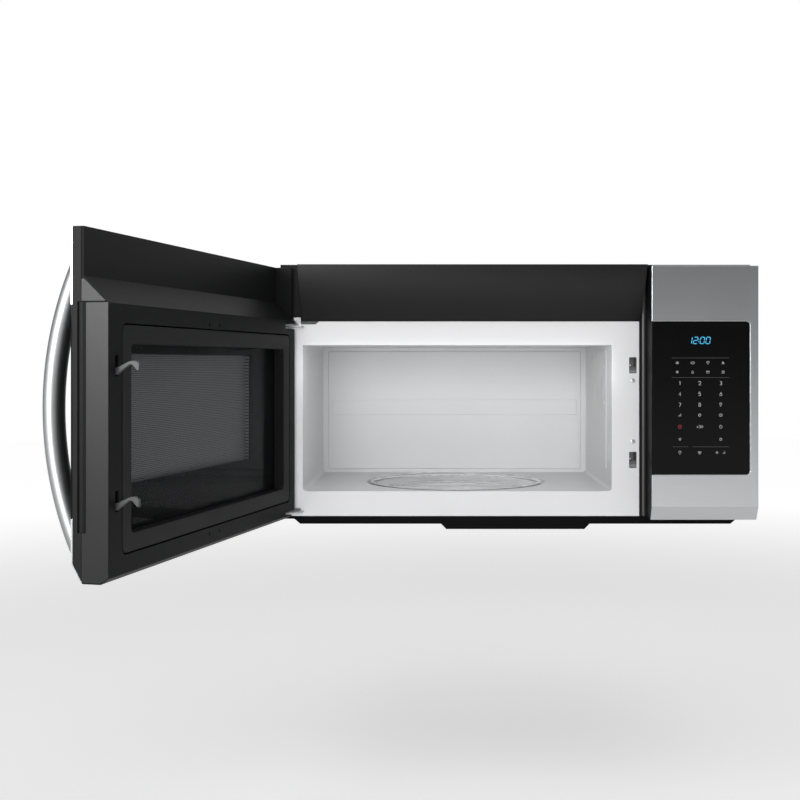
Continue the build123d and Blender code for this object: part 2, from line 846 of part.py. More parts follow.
def control_frame():
    """Black plastic housing behind the panel, with a flange on the cabinet's front plane."""
    inner_y = skin_back + plastic_wall
    inner_x = (panel_left + plastic_wall, half - plastic_wall)
    outline = front_profile(skin_back, frame_y, door_top, door_bottom)
    housing = prism_x(outline, (panel_left, half))
    room = front_profile(inner_y, frame_y, door_top - plastic_wall, door_bottom + plastic_wall)
    housing -= prism_x(room, inner_x)
    housing -= slab(plain(*display_limits()), past((skin_back, inner_y)))
    for x, z in boss_places():
        housing += rod_y(x, z, boss_radius, (inner_y, inner_y + display_depth))
    flange = box((frame_right, half - sheet), (frame_y, frame_back), (frame_bottom, case_top))
    hole_z = (frame_bottom + flange_band, door_top - plastic_wall)
    return housing + flange - box(inner_x, (frame_y - 1, frame_back + 1), hole_z)


def control_bezel():
    """Steel face of the control panel, cut out for the touch glass."""
    bezel = prism_x(skin_profile(), (panel_left, half))
    return bezel - slab(glass_outline(panel_left, half - glass_margin, fit_gap), (outer_y - 1, skin_back))


def touch_panel_glass():
    """Black touch glass, flush with the bezel."""
    return slab(glass_outline(panel_left, half - glass_margin), (outer_y, skin_back))


def display_module():
    """Display block behind the housing's window."""
    x, z = display_limits()
    front = skin_back + plastic_wall
    return box(inset(x, -display_rim), (front, front + display_depth), inset(z, -display_rim))


def control_board():
    """Printed board on the housing's bosses, with its larger components."""
    x = (panel_left + board_margin, half - board_margin)
    z = (glass_bottom - board_below_glass, glass_top - board_above_glass)
    front = skin_back + plastic_wall + display_depth
    back = front + board_thickness
    board = box(x, (front, back), z)
    left, low, side, height = board_coil
    coil_x = (x[0] + left, x[0] + left + side)
    board += box(coil_x, (back, back + height), (z[0] + low, z[0] + low + side))
    right, low, width, length, height = board_relay
    for index in range(3):
        start = z[0] + low + board_relay_pitch * index
        relay_x = (x[1] - right, x[1] - right + width)
        board += box(relay_x, (back, back + height), (start, start + length))
    left, low, radius, height = board_can
    return board + rod_y(x[0] + left, z[0] + low, radius, (back, back + height))


# ---- latch in the cabinet ------------------------------------------------------------------
def keeper_outline(z):
    """Ledge in (y, z) that a hook's barb drops behind."""
    front, crest, back = [door_inner_y + depth for depth in keeper_depths]
    low = z - latch_slot_height / 2 + 1
    top = z - keeper_drops[1]
    return [(front, low), (front, z - keeper_drops[0]), (crest, top), (back, top), (back, low)]


def latch_housing():
    """Housing behind the latch slots: pockets with keeper ledges and seats for the switches."""
    z = inset(hook_z, -housing_above)
    housing = box(around(latch_x, housing_half), (frame_back, housing_back), z)
    slot_x = around(latch_x, latch_slot_width / 2)
    for hook in hook_z:
        pocket = around(hook, latch_slot_height / 2 - fit_gap)
        housing -= box(slot_x, (frame_back - 1, pocket_back), pocket)
        housing += prism_x(keeper_outline(hook), slot_x)
        hole = plunger_radius + 2 * fit_gap
        housing -= rod_y(latch_x, hook, hole, past((pocket_back, switch_front)))
    for place in switch_z:
        seat = (place - switch_below, place + switch_above)
        housing -= box(around(latch_x, switch_half), (switch_front, housing_back + 1), seat)
    for place in frame_screw_z:
        screw = (frame_back - 1, frame_back + frame_screw_length + 2)
        housing -= rod_y(latch_x, place, screw_shank, screw)
    return housing


def plunger_limits():
    """The ends of a plunger at rest: just clear of the hook, and inside its switch."""
    return pocket_back - plunger_reach - 1.6, switch_front + plunger_reach


def interlock_switches():
    """Three snap switches in the back of the latch housing."""
    bore_end = plunger_limits()[1] + plunger_travel + 0.5
    switches = []
    for place in switch_z:
        z = (place - switch_below, place + switch_above)
        body = box(around(latch_x, switch_half), (switch_front, housing_back + switch_proud), z)
        if place in hook_z:
            body -= rod_y(latch_x, place, plunger_radius + running_gap, (switch_front - 1, bore_end))
        switches.append(body)
    return group(switches)


def interlock_plungers():
    """The two plungers that the hooks press."""
    return group(rod_y(latch_x, z, plunger_radius, plunger_limits()) for z in hook_z)


def frame_screws():
    """Two screws through the front frame into the latch housing."""
    screws = []
    for z in frame_screw_z:
        head = rod_y(latch_x, z, screw_head, (frame_y - screw_head_height, frame_y))
        shank = (frame_y - 1, frame_back + frame_screw_length)
        screws.append(head + rod_y(latch_x, z, screw_shank, shank))
    return group(screws)


# ---- microwave source ----------------------------------------------------------------------
guide_right = bay_left + guide_length
magnetron_place = (middle(port_y), middle(port_z))
core_x = (bay_left + core_offset, bay_left + core_offset + core_width)
core_y = (frame_y + core_setback, frame_y + core_setback + core_depth)
core_z = (bay_floor_top, bay_floor_top + core_height)


def waveguide():
    """Rectangular tube from the magnetron to the port in the cavity's right wall."""
    y, z = inset(port_y, -guide_margin[0]), inset(port_z, -guide_margin[1])
    guide = box((bay_left, guide_right), y, z)
    guide -= box((bay_left - 1, guide_right - sheet), inset(y, sheet), inset(z, sheet))
    hole = (guide_right - 2 * sheet, guide_right + 1)
    return guide - rod_x(*magnetron_place, antenna_radius + fit_gap, hole)


def magnetron():
    """Magnetron: mounting plate, anode with cooling fins in a yoke, and the filter box."""
    y, z = magnetron_place
    plate_end = guide_right + magnetron_plate
    yoke_end = plate_end + yoke_depth
    yoke_z = around(z, magnetron_height / 2 - 8)
    tube = box((guide_right, plate_end), around(y, magnetron_width / 2), around(z, magnetron_height / 2))
    tube += rod_x(y, z, antenna_radius, (guide_right - 22, plate_end))
    tube += rod_x(y, z, anode_radius, (plate_end, yoke_end))
    tube += box((yoke_end - magnetron_plate, yoke_end), around(y, yoke_half), yoke_z)
    for side in (-1, 1):
        wall = around(y + side * (yoke_half - magnetron_plate / 2), magnetron_plate / 2)
        tube += box((plate_end, yoke_end), wall, yoke_z)
    for index in range(fin_count):
        x = plate_end + 2 * fin_pitch + fin_pitch * index
        tube += box((x, x + 1), around(y, yoke_half - 1), around(z, yoke_half - 10))
    cover = (yoke_end, yoke_end + filter_box_depth)
    return tube + box(cover, around(y, yoke_half - 12), inset(yoke_z, 6))


def transformer_core():
    """Laminated core with two windows, on the bay floor."""
    core = box(core_x, core_y, core_z)
    windows = (
        (core_x[0] + core_leg, core_x[0] + core_leg + core_window),
        (core_x[1] - core_leg - core_window, core_x[1] - core_leg),
    )
    for window in windows:
        core -= box(window, past(core_y), inset(core_z, core_leg))
    return core


def transformer_coils():
    """Primary and secondary windings around the middle leg, one above the other."""
    leg = inset(core_x, core_leg + core_window)
    outside = (inset(core_x, core_leg + coil_gap), inset(core_y, -coil_overhang))
    centre = middle(core_z)
    lower = (core_z[0] + core_leg + coil_gap, centre - coil_gap / 2)
    upper = (centre + coil_gap / 2, core_z[1] - core_leg - coil_gap)
    return group(box(*outside, z) - box(leg, core_y, past(z)) for z in (lower, upper))


def hv_capacitor():
    """Oval can with two terminals, standing on the bay floor."""
    place = (half - capacitor_inset, middle(core_y))
    outline = Rot(0, 0, 90) * SlotOverall(capacitor_length, capacitor_width)
    can = extrude(Plane.XY.offset(bay_floor_top) * Pos(*place) * outline, capacitor_height)
    top = bay_floor_top + capacitor_height
    for side in (-1, 1):
        tab = around(place[1] + side * 8, 3)
        can += box(around(place[0], 2), tab, (top - 1, top + 11))
    return can


# ---- fans ----------------------------------------------------------------------------------
fan_y = (-sheet - fan_depth, -sheet)
fan_motor_y = (-sheet - fan_arm_depth - fan_motor_length, -sheet - fan_arm_depth)
fan_hub_y = (fan_y[0] + 2, fan_motor_y[0] - 4)
wheel_left = (cavity_centre - wheel_outer, cavity_centre - wheel_inner)
wheel_right = (cavity_centre + wheel_inner, cavity_centre + wheel_outer)
blower_x = (wheel_left[0] - blower_end_gap, wheel_right[1] + blower_end_gap)
blower_motor_x = around(cavity_centre, blower_motor_half)


def fan_shroud():
    """Square duct ring for the cooling fan, with two arms that carry its motor."""
    x, z = around(fan_x, fan_half), around(fan_z, fan_half)
    ring = box(x, fan_y, z) - rod_y(fan_x, fan_z, fan_hole, past(fan_y))
    arms = (fan_motor_y[1], -sheet)
    ring += box(x, arms, around(fan_z, fan_arm / 2))
    return ring + box(around(fan_x, fan_arm / 2), arms, z)


def fan_motor():
    """Cooling fan motor, held by the shroud's arms."""
    motor = rod_y(fan_x, fan_z, fan_motor_radius, fan_motor_y)
    bore = (fan_motor_y[0] - 1, fan_motor_y[1] - 8)
    return motor - rod_y(fan_x, fan_z, fan_shaft_radius + running_gap, bore)


def cooling_fan_blade():
    """Moulded fan on its shaft, with pitched blades."""
    fan = rod_y(fan_x, fan_z, fan_hub_radius, fan_hub_y)
    fan += rod_y(fan_x, fan_z, fan_shaft_radius, (fan_hub_y[0], fan_motor_y[1] - 9))
    swept = rod_y(fan_x, fan_z, fan_blade_radius, fan_hub_y)
    reach = fan_blade_radius - fan_hub_radius
    blade = Pos(0, 0, fan_hub_radius + reach / 2) * Rot(0, 0, 35) * Box(34, 2, reach + 6)
    centre = Pos(fan_x, middle(fan_hub_y), fan_z)
    for index in range(fan_blade_count):
        fan += (centre * Rot(0, 360 / fan_blade_count * index, 0) * blade) & swept
    return fan


def blower_housing():
    """Box around both blower wheels: inlets at the ends and outlets to the front."""
    y, z = (blower_y - blower_half, -sheet), (cavity_roof, case_top)
    housing = box(blower_x, y, z)
    housing -= box(*[inset(limits, blower_sheet) for limits in (blower_x, y, z)])
    housing -= rod_x(blower_y, blower_z, wheel_radius - inlet_inset, past(blower_x))
    outlet = (z[0] + blower_clearance, blower_z + wheel_radius / 2)
    for wheel in (wheel_left, wheel_right):
        housing -= box(wheel, (y[0] - 1, y[0] + 2 * blower_sheet), outlet)
    return housing


def blower_motor():
    """Motor between the wheels, on a foot on the housing's floor."""
    floor = cavity_roof + blower_sheet
    motor = rod_x(blower_y, blower_z, blower_motor_radius, blower_motor_x)
    foot = (floor, blower_z - blower_foot_half)
    motor += box(inset(blower_motor_x, 8), around(blower_y, blower_foot_half), foot)
    return motor - rod_x(blower_y, blower_z, blower_shaft_radius + running_gap, past(blower_motor_x))


def blower_wheel(x, closed_end):
    """Drum wheel: a disc and hub at its closed end, blades, and a rim at the other."""
    inward = math.copysign(1, middle(x) - closed_end)
    open_end = x[0] + x[1] - closed_end
    disc = sorted((closed_end, closed_end + 2 * inward))
    rim = sorted((open_end, open_end - 3 * inward))
    wheel = rod_x(blower_y, blower_z, wheel_radius, disc)
    rim_hole = wheel_radius - wheel_blade_depth - 1
    wheel += rod_x(blower_y, blower_z, wheel_radius, rim) - rod_x(blower_y, blower_z, rim_hole, past(rim))
    centre = Pos(middle(x), blower_y, blower_z)
    blade = Box(x[1] - x[0] - 2, 1.4, wheel_blade_depth)
    blade = Pos(0, 0, wheel_radius - wheel_blade_depth / 2 - 1) * Rot(18, 0, 0) * blade
    for index in range(wheel_blades):
        wheel += centre * Rot(360 / wheel_blades * index, 0, 0) * blade
    return wheel + rod_x(blower_y, blower_z, 9, sorted((closed_end, closed_end + 8 * inward)))


def blower_rotor():
    """Double-ended shaft with both drum wheels, their closed ends towards the motor."""
    shaft = rod_x(blower_y, blower_z, blower_shaft_radius, (wheel_left[0], wheel_right[1]))
    return shaft + blower_wheel(wheel_left, wheel_left[1]) + blower_wheel(wheel_right, wheel_right[0])


# ---- lamps, cord entry and filters ---------------------------------------------------------
def cavity_lamp():
    """Lamp socket and bulb behind the lamp port in the right wall."""
    y, z = inset(lamp_port_y, -12), inset(lamp_port_z, -8)
    cup = 22
    lamp = box((bay_left, bay_left + cup), y, z)
    lamp -= box((bay_left - 1, bay_left + cup - 2), inset(y, 2), inset(z, 2))
    place = (middle(y), middle(z))
    lamp += rod_x(*place, 6, (bay_left + 4, bay_left + cup - 1))
    return lamp + rod_x(*place, 9, (bay_left + cup - 1, bay_left + 2 * cup))


def lamp_lenses():
    """Glass lenses that lie over the two lamp openings."""
    y = around(lens_y, lens_depth / 2)
    z = (pan_floor, pan_floor + lens_thickness)
    return group(box(around(side * lens_x, lens_width / 2), y, z) for side in (-1, 1))


def cooktop_lamps():
    """Bulb and socket on a bracket beside each lens."""
    inner = lens_x + lens_width / 2 + fit_gap
    axis = (lens_y, pan_floor + lamp_height)
    width = around(lens_y, lamp_bracket_width / 2)
    lamp = box((inner, inner + lamp_bracket), width, (pan_floor, pan_floor + lamp_bracket_height))
    socket_end = inner - lamp_socket_length
    lamp += rod_x(*axis, lamp_socket_radius, (socket_end, inner + 1))
    lamp += rod_x(*axis, lamp_bulb_radius, (socket_end - lamp_bulb_length, socket_end + 1))
    return group([lamp, lamp.mirror(Plane.YZ)])


def cord_gland():
    """Bush in the top of the case where the supply cord enters."""
    low = case_top - cord_gland_depth
    gland = rod_z(*cord_place, cord_neck, (low, body_top))
    gland += rod_z(*cord_place, cord_neck + cord_flange, (low, case_top))
    return gland - rod_z(*cord_place, cord_bore, past((low, body_top)))


def grease_filter(side):
    """Mesh panel in a thin rim that lies on the ledges of its opening, with a pull tab."""
    x = around(side * filter_x, filter_width / 2)
    y = around(filter_y, filter_depth / 2)
    top = pan_floor + filter_thickness
    mesh = (inset(x, filter_rim), inset(y, filter_rim))
    panel = box(x, y, (pan_floor, top))
    panel -= box(*mesh, (top - filter_relief, top + 1))
    panel -= box(*mesh, (pan_floor - 1, pan_floor + filter_relief))
    tab = y[0] + filter_rim + filter_tab_setback
    tab_x = around(side * filter_x, filter_tab_width / 2)
    return panel + box(tab_x, (tab, tab + 2), (lip_z - filter_tab_drop, pan_floor + 1))


# ---- turntable -----------------------------------------------------------------------------
def turntable_motor():
    """Flat motor under the floor recess."""
    place = (cavity_centre, tray_y)
    z = (recess_under - turntable_motor_height, recess_under)
    motor = rod_z(*place, turntable_motor_radius, z)
    ears = (around(place[0], turntable_ear_half), around(place[1], turntable_ear_width / 2))
    motor += box(*ears, (recess_under - 2, recess_under))
    return motor - rod_z(*place, stem_radius + running_gap, (recess_under - stem_depth - 1, recess_under + 1))


def turntable_coupler():
    """Three-armed coupler on the motor's shaft, which turns the glass tray."""
    place = (cavity_centre, tray_y)
    z = (recess_floor + coupler_rise, tray_low - soft_gap)
    coupler = rod_z(*place, coupler_hub, z)
    coupler += rod_z(*place, stem_radius, (recess_under - stem_depth, z[0] + 1))
    arm = box((0, coupler_arm), around(0, coupler_arm_width / 2), (z[0] + 3, z[1]))
    for index in range(3):
        coupler += Pos(*place, 0) * Rot(0, 0, 120 * index) * arm
    return coupler


def glass_tray():
    """Pressed glass tray: flat base, sloping rim and three lugs below for the coupler."""
    top = cavity_floor
    profile = [
        (0, tray_low),
        (tray_base_radius, tray_low),
        (tray_radius - 8, top - 5.5),
        (tray_radius, top - 3.2),
        (tray_radius, top - 0.6),
        (tray_radius - 0.6, top),
        (tray_radius - 3.5, top),
        (tray_radius - 11, top - 3.5),
        (tray_base_radius - 1.4, tray_low + tray_glass),
        (0, tray_low + tray_glass),
    ]
    tray = revolve(make_face(Plane.XZ * Polyline(*profile, close=True)), Axis.Z)
    lug = Pos(lug_track, 0, tray_low - lug_height / 2) * Box(lug_width, lug_width, lug_height)
    for index in range(3):
        tray += Rot(0, 0, 120 * index + 60) * lug
    return Pos(cavity_centre, tray_y, 0) * tray


def roller_place(index):
    """The frame of one roller's axle, its X axis pointing outwards."""
    return Pos(cavity_centre, tray_y, roller_z) * Rot(0, 0, 120 * index + roller_start)


def roller_ring():
    """Plastic ring with three outward axles."""
    place = (cavity_centre, tray_y)
    outer = roller_track - roller_width / 2 - soft_gap
    tip = roller_track + roller_width / 2 + soft_gap
    z = around(roller_z, ring_height / 2)
    ring = rod_z(*place, outer, z) - rod_z(*place, outer - ring_band, past(z))
    axle = rod_x(0, 0, axle_radius, (outer - axle_root, tip + axle_head))
    axle += rod_x(0, 0, axle_radius + 1, (tip, tip + axle_head))
    for index in range(3):
        ring += roller_place(index) * axle
    return ring


def roller(index):
    """Small wheel between the recess floor and the tray."""
    x = around(roller_track, roller_width / 2)
    wheel = rod_x(0, 0, roller_radius, x) - rod_x(0, 0, axle_radius + running_gap, past(x))
    return roller_place(index) * wheel


# ---- door, drawn shut ----------------------------------------------------------------------
def side_groove(right):
    """Recess along the free edge, between the glass and the inner pan."""
    y = (pan_front - 4.6, door_inner_y - side_groove_inner)
    return box((right - side_groove_depth, right + 1), y, groove_z)


def door_skin():
    """Steel face: bent along the bottom, cut out for the front glass up to the free edge."""
    face = prism_x(skin_profile(), door_x)
    face -= slab(glass_outline(door_right + 1, door_left + glass_margin, fit_gap), (outer_y - 1, skin_back))
    for z in handle_screw_z:
        face -= rod_y(handle_x, z, handle_screw_shank + fit_gap, past((outer_y, skin_back)))
    return face


def door_front_glass():
    """Black front glass that runs to the door's free edge."""
    return slab(glass_outline(door_right, door_left + glass_margin), (outer_y, skin_back))


def door_frame():
    """Black plastic frame behind face and glass, hollow, with the window's opening."""
    inner_y = skin_back + plastic_wall
    frame = prism_x(front_profile(skin_back, pan_front, door_top, door_bottom), door_x)
    grow = window_grow + plastic_wall
    wall = rounded(inset(screen_x, -grow), inset(screen_z, -grow), recess_corner + plastic_wall)
    window = rounded(inset(screen_x, -window_grow), inset(screen_z, -window_grow), recess_corner)
    room_x = (door_left + plastic_wall, door_right - side_groove_depth - plastic_wall)
    room = box(room_x, (inner_y, pan_front + 1), (bevel_z + plastic_wall, door_top - plastic_wall))
    frame -= room - slab(wall, (skin_back, pan_front))
    frame -= slab(window, past((skin_back, pan_front)))
    frame -= side_groove(door_right)
    for z in handle_screw_z:
        frame -= rod_y(handle_x, z, handle_screw_shank + fit_gap, past((skin_back, inner_y)))
    return frame


def pan_outline():
    """Outer section of the inner pan in (y, z)."""
    low = bevel_z - bevel_rise * door_frame_depth / bevel_depth
    return [
        (pan_front, door_top),
        (pan_front, low),
        (toe_y, door_bottom),
        (heel_y, door_bottom),
        (door_inner_y, door_bottom + toe_rise),
        (door_inner_y, frame_top),
        (thin_y, frame_top + pan_slope),
        (thin_y, door_top),
    ]


def pan_cheek():
    """Side of the pan above its slope, at the hinge."""
    edge = door_inner_y - cheek_setback
    foot = frame_top + slope * cheek_setback
    points = [(pan_front, foot), (pan_front, door_top), (edge, door_top), (edge, foot)]
    return prism_x(points, (door_left, door_left + pan_sheet))


def pan_room():
    """Inner section of the pan, open towards the plastic frame."""
    front = pan_front - 1
    inner = door_inner_y - pan_sheet
    low = door_bottom + 1.5 * pan_sheet
    top = frame_top - pan_sheet
    return [
        (front, top + slope * (inner - front)),
        (front, low),
        (heel_y - pan_sheet, low),
        (inner, low + toe_rise),
        (inner, top),
    ]


def latch_guide(z):
    """Guide block for the latch plate, with a close passage along Z."""
    y = (bar_inner_y - latch_bar_depth - 3, door_inner_y - pan_sheet)
    passage_x = around(latch_x, latch_thickness / 2 + latch_play)
    passage_y = (bar_inner_y - latch_bar_depth - latch_play, bar_inner_y + latch_play)
    z = around(z, guide_height / 2)
    return box(around(latch_x, guide_half), y, z) - box(passage_x, passage_y, past(z))


def spring_stop_block():
    """Block inside the pan that the latch spring pushes against."""
    low = bar_z[1] + spring_length
    y = (spring_y - 2 * spring_radius, door_inner_y - pan_sheet)
    return box(around(latch_x, guide_half), y, (low, low + spring_stop))


def bush_limits():
    """Height limits of the upper and the lower hinge bush."""
    top = upper_bracket_z - soft_gap
    low = lower_bracket_top + soft_gap
    return (top - bush_length, top), (low, low + bush_length)


def hinge_notches():
    """Spaces in the door's hinge corner for the two brackets."""
    x = (door_left - 1, hinge_x + notch_reach)
    y = (hinge_y - notch_setback, door_inner_y + 1)
    upper = past((upper_bracket_z, upper_bracket_top), notch_gap)
    lower = past((lower_bracket_z, lower_bracket_top), notch_gap)
    return box(x, y, upper), box(x, y, lower)


def hinge_blocks():
    """Solid corners of the pan that hold the bushes."""
    x = (door_left, hinge_x + notch_reach + hinge_block_wall)
    y = (hinge_y - notch_setback - hinge_block_wall, door_inner_y)
    upper, lower = bush_limits()
    top = upper_bracket_top + notch_gap + hinge_block_wall
    blocks = box(x, y, (upper[0], top)) + box(x, y, (door_bottom, lower[1]))
    return blocks & prism_x(pan_outline(), door_x)


def snap_slots():
    """Small slots above and below the choke ring."""
    slots = []
    for place in snap_places:
        for z in (ring_z[0] - 10, ring_z[1] + 8):
            y = (door_inner_y - 5, door_inner_y + 1)
            slots.append(box(around(hinge_x + place, 1.3), y, around(z, 2.4)))
    return slots


def ring_rounded(amount):
    """The choke ring's outline, drawn in by an amount."""
    return rounded(inset(ring_x, amount), inset(ring_z, amount), ring_corner - amount)


def door_pan():
    """Folded inner pan: pocket for the choke ring, window, latch guides and hinge corners."""
    pan = prism_x(pan_outline(), (door_left, pan_right))
    pan -= prism_x(pan_room(), inset((door_left, pan_right), pan_sheet))
    pan += pan_cheek()
    pan += slab(ring_rounded(-ring_groove - pan_sheet), (pocket_floor - pan_sheet, door_inner_y))
    pan += spring_stop_block()
    pan += latch_guide(hook_z[0] + guide_inset) + latch_guide(hook_z[1] - guide_inset)
    rib_z = inset(groove_z, -plastic_wall)
    rib_y = (pan_front, door_inner_y - side_groove_inner + plastic_wall)
    pan += box((pan_right - 2 * side_groove_depth, pan_right), rib_y, rib_z)
    pan += hinge_blocks()
    pan -= slab(ring_rounded(-ring_groove), (pocket_floor, door_inner_y + 1))
    pan -= slab(plain(screen_x, screen_z), past((pocket_floor - pan_sheet, pocket_floor)))
    slot_y = (door_inner_y - pan_sheet - 1, door_inner_y + 1)
    for z in hook_z:
        pan -= box(around(latch_x, latch_thickness / 2 + 1.5), slot_y, around(z, latch_slot_height / 2 - 1))
    for cut in (*hinge_notches(), *snap_slots(), side_groove(door_right)):
        pan -= cut
    for span in bush_limits():
        pan -= rod_z(hinge_x, hinge_y, bush_radius, span)
    return pan


def hinge_bushes():
    """Plastic bushes in which the hinge pins turn."""
    place = (hinge_x, hinge_y)
    bore = pin_radius + running_gap
    return group(rod_z(*place, bush_radius, z) - rod_z(*place, bore, past(z)) for z in bush_limits())


def choke_cover():
    """Plastic ring over the choke groove, with a wall down to the inner glass."""
    grown = (inset(recess_x, -ring_wall), inset(recess_z, -ring_wall))
    ring = slab(ring_rounded(0), (door_inner_y - ring_skirt, door_inner_y))
    ring -= slab(ring_rounded(ring_wall), (door_inner_y - ring_skirt - 1, door_inner_y - ring_plate))
    ring += slab(rounded(*grown, recess_corner + ring_wall), (glass_face, door_inner_y))
    return ring - slab(rounded(recess_x, recess_z, recess_corner), past((glass_face, door_inner_y)))


def door_inner_glass():
    """Inner glass at the bottom of the recess, held under the choke cover's wall."""
    x, z = inset(recess_x, -ring_wall), inset(recess_z, -ring_wall)
    return slab(rounded(x, z, recess_corner), (pocket_floor, glass_face))


def door_screen():
    """Screen sheet: a shallow steel tray behind the pan's window."""
    x, z = inset(screen_x, -screen_flange), inset(screen_z, -screen_flange)
    back = pocket_floor - pan_sheet
    tray = slab(plain(x, z), (back - screen_depth - sheet, back))
    return tray - slab(plain(inset(x, screen_wall), inset(z, screen_wall)), (back - screen_depth, back + 1))


def door_edge_trim():
    """Grey strip on the free edge: a wedge above and a long strip below a fine joint."""
    inner = door_inner_y - 0.5
    deep = pan_front + 0.4
    groove = door_inner_y - side_groove_inner
    joint = groove_z[1] + 0.2
    strip_top = joint - 1.4
    wedge_top = frame_top + pan_slope - 3.3
    strip = [
        (inner, door_bottom + toe_rise + 0.5),
        (inner, frame_top - 0.5),
        (inner - 0.6, strip_top),
        (groove, strip_top),
        (groove, groove_z[0]),
        (deep, groove_z[0]),
        (deep, door_bottom + 4),
        (deep + 2, door_bottom + 1.5),
        (heel_y - 0.2, door_bottom + 1.5),
    ]
    wedge = [(inner - 2.7, joint), (thin_y + 0.8, wedge_top), (deep, wedge_top), (deep, joint)]
    x = (pan_right, door_right)
    return group([prism_x(strip, x), prism_x(wedge, x)])


def handle_bow():
    """The handle's middle line: one arc in the plane x = handle_x."""
    chord = (handle_z[1] - handle_z[0]) / 2 - handle_run_in
    radius = (chord**2 + handle_rise**2) / (2 * handle_rise)
    centre = (handle_x, outer_y - handle_rise + radius, middle(handle_z))
    reach = math.degrees(math.asin((chord + 5 * handle_run_in) / radius))
    plane = Plane(centre, x_dir=(0, -1, 0), z_dir=(1, 0, 0))
    return plane * CenterArc((0, 0), radius, -reach, 2 * reach)


def door_handle():
    """Bowed bar that runs into the door's face at both ends."""
    path = handle_bow()
    start = Plane(path @ 0, x_dir=(1, 0, 0), z_dir=path % 0)
    bar = sweep(start * RectangleRounded(handle_width, handle_thickness, handle_round), path)
    room = (outer_y - handle_rise - handle_thickness, outer_y)
    bar = bar & box(around(handle_x, handle_width), room, handle_z)
    bore = handle_screw_shank + running_gap
    for z in handle_screw_z:
        bar -= rod_y(handle_x, z, bore, (outer_y - handle_screw_depth - 1, outer_y + 1))
    return bar


def handle_screws():
    """Screws from inside the door's frame into the handle's ends."""
    seat = skin_back + plastic_wall
    screws = []
    for z in handle_screw_z:
        head = rod_y(handle_x, z, handle_screw_head, (seat, seat + 3))
        shank = (outer_y - handle_screw_depth, seat + 1)
        screws.append(head + rod_y(handle_x, z, handle_screw_shank, shank))
    return group(screws)


def hook_outline(z):
    """One hook in (y, z), joined to the latch plate: a rising arm and a barb that turns down."""
    root = [(-latch_bar_inner, hook_points[0][1]), (-latch_bar_inner, hook_points[-1][1])]
    outline = [root[0], *hook_points, root[1]]
    return [(door_inner_y + depth, z + rise) for depth, rise in outline]


def latch_hooks():
    """Latch plate inside the door with its two hooks."""
    x = around(latch_x, latch_thickness / 2)
    plate = box(x, (bar_inner_y - latch_bar_depth, bar_inner_y), bar_z)
    for z in hook_z:
        plate += prism_x(hook_outline(z), x)
    return plate


def latch_spring():
    """Return spring above the latch plate."""
    z = (bar_z[1], bar_z[1] + spring_length)
    bore = rod_z(latch_x, spring_y, spring_radius - spring_wall, past(z))
    return rod_z(latch_x, spring_y, spring_radius, z) - bore


# ---- all pieces ----------------------------------------------------------------------------
cabinet_pieces = [
    outer_case, back_plate, base_plate, bay_floor, cavity_box, front_frame, mica_cover,
    vent_cover, vent_end_cap, charcoal_filter,
    hinge_bracket_upper, hinge_bracket_lower, hinge_pins,
    control_frame, control_bezel, touch_panel_glass, display_module, control_board,
    latch_housing, interlock_switches, interlock_plungers, frame_screws, case_screws,
    waveguide, magnetron, transformer_core, transformer_coils, hv_capacitor,
    fan_shroud, fan_motor, cooling_fan_blade, blower_housing, blower_motor, blower_rotor,
    cavity_lamp, lamp_lenses, cooktop_lamps, cord_gland,
    turntable_motor, turntable_coupler, glass_tray, roller_ring,
]
door_pieces = [
    door_skin, door_front_glass, door_frame, door_pan, hinge_bushes, choke_cover,
    door_inner_glass, door_screen, door_edge_trim, door_handle, handle_screws,
    latch_hooks, latch_spring,
]

for make in cabinet_pieces:
    write(make.__name__, make())
for make in door_pieces:
    write(make.__name__, opened(make()))
for number in (1, 2, 3):
    write(f"roller_{number}", roller(number - 1))
write("grease_filter_left", grease_filter(-1))
write("grease_filter_right", grease_filter(1))
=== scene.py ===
# %% [markdown]
# # An over the range microwave oven, dressed for its portrait
#
# The imported solids already give every piece its true place and size. What is left for Blender
# is what a solid can't say: how the steel was brushed, how enamel pools over a pressed panel,
# how a glass tray gathers light. So the scene starts by loading the frame, and keeps the box
# of the bare solids.

# %% Load the frame
import json
import math

import bmesh
import bpy
from mathutils import Matrix, Vector


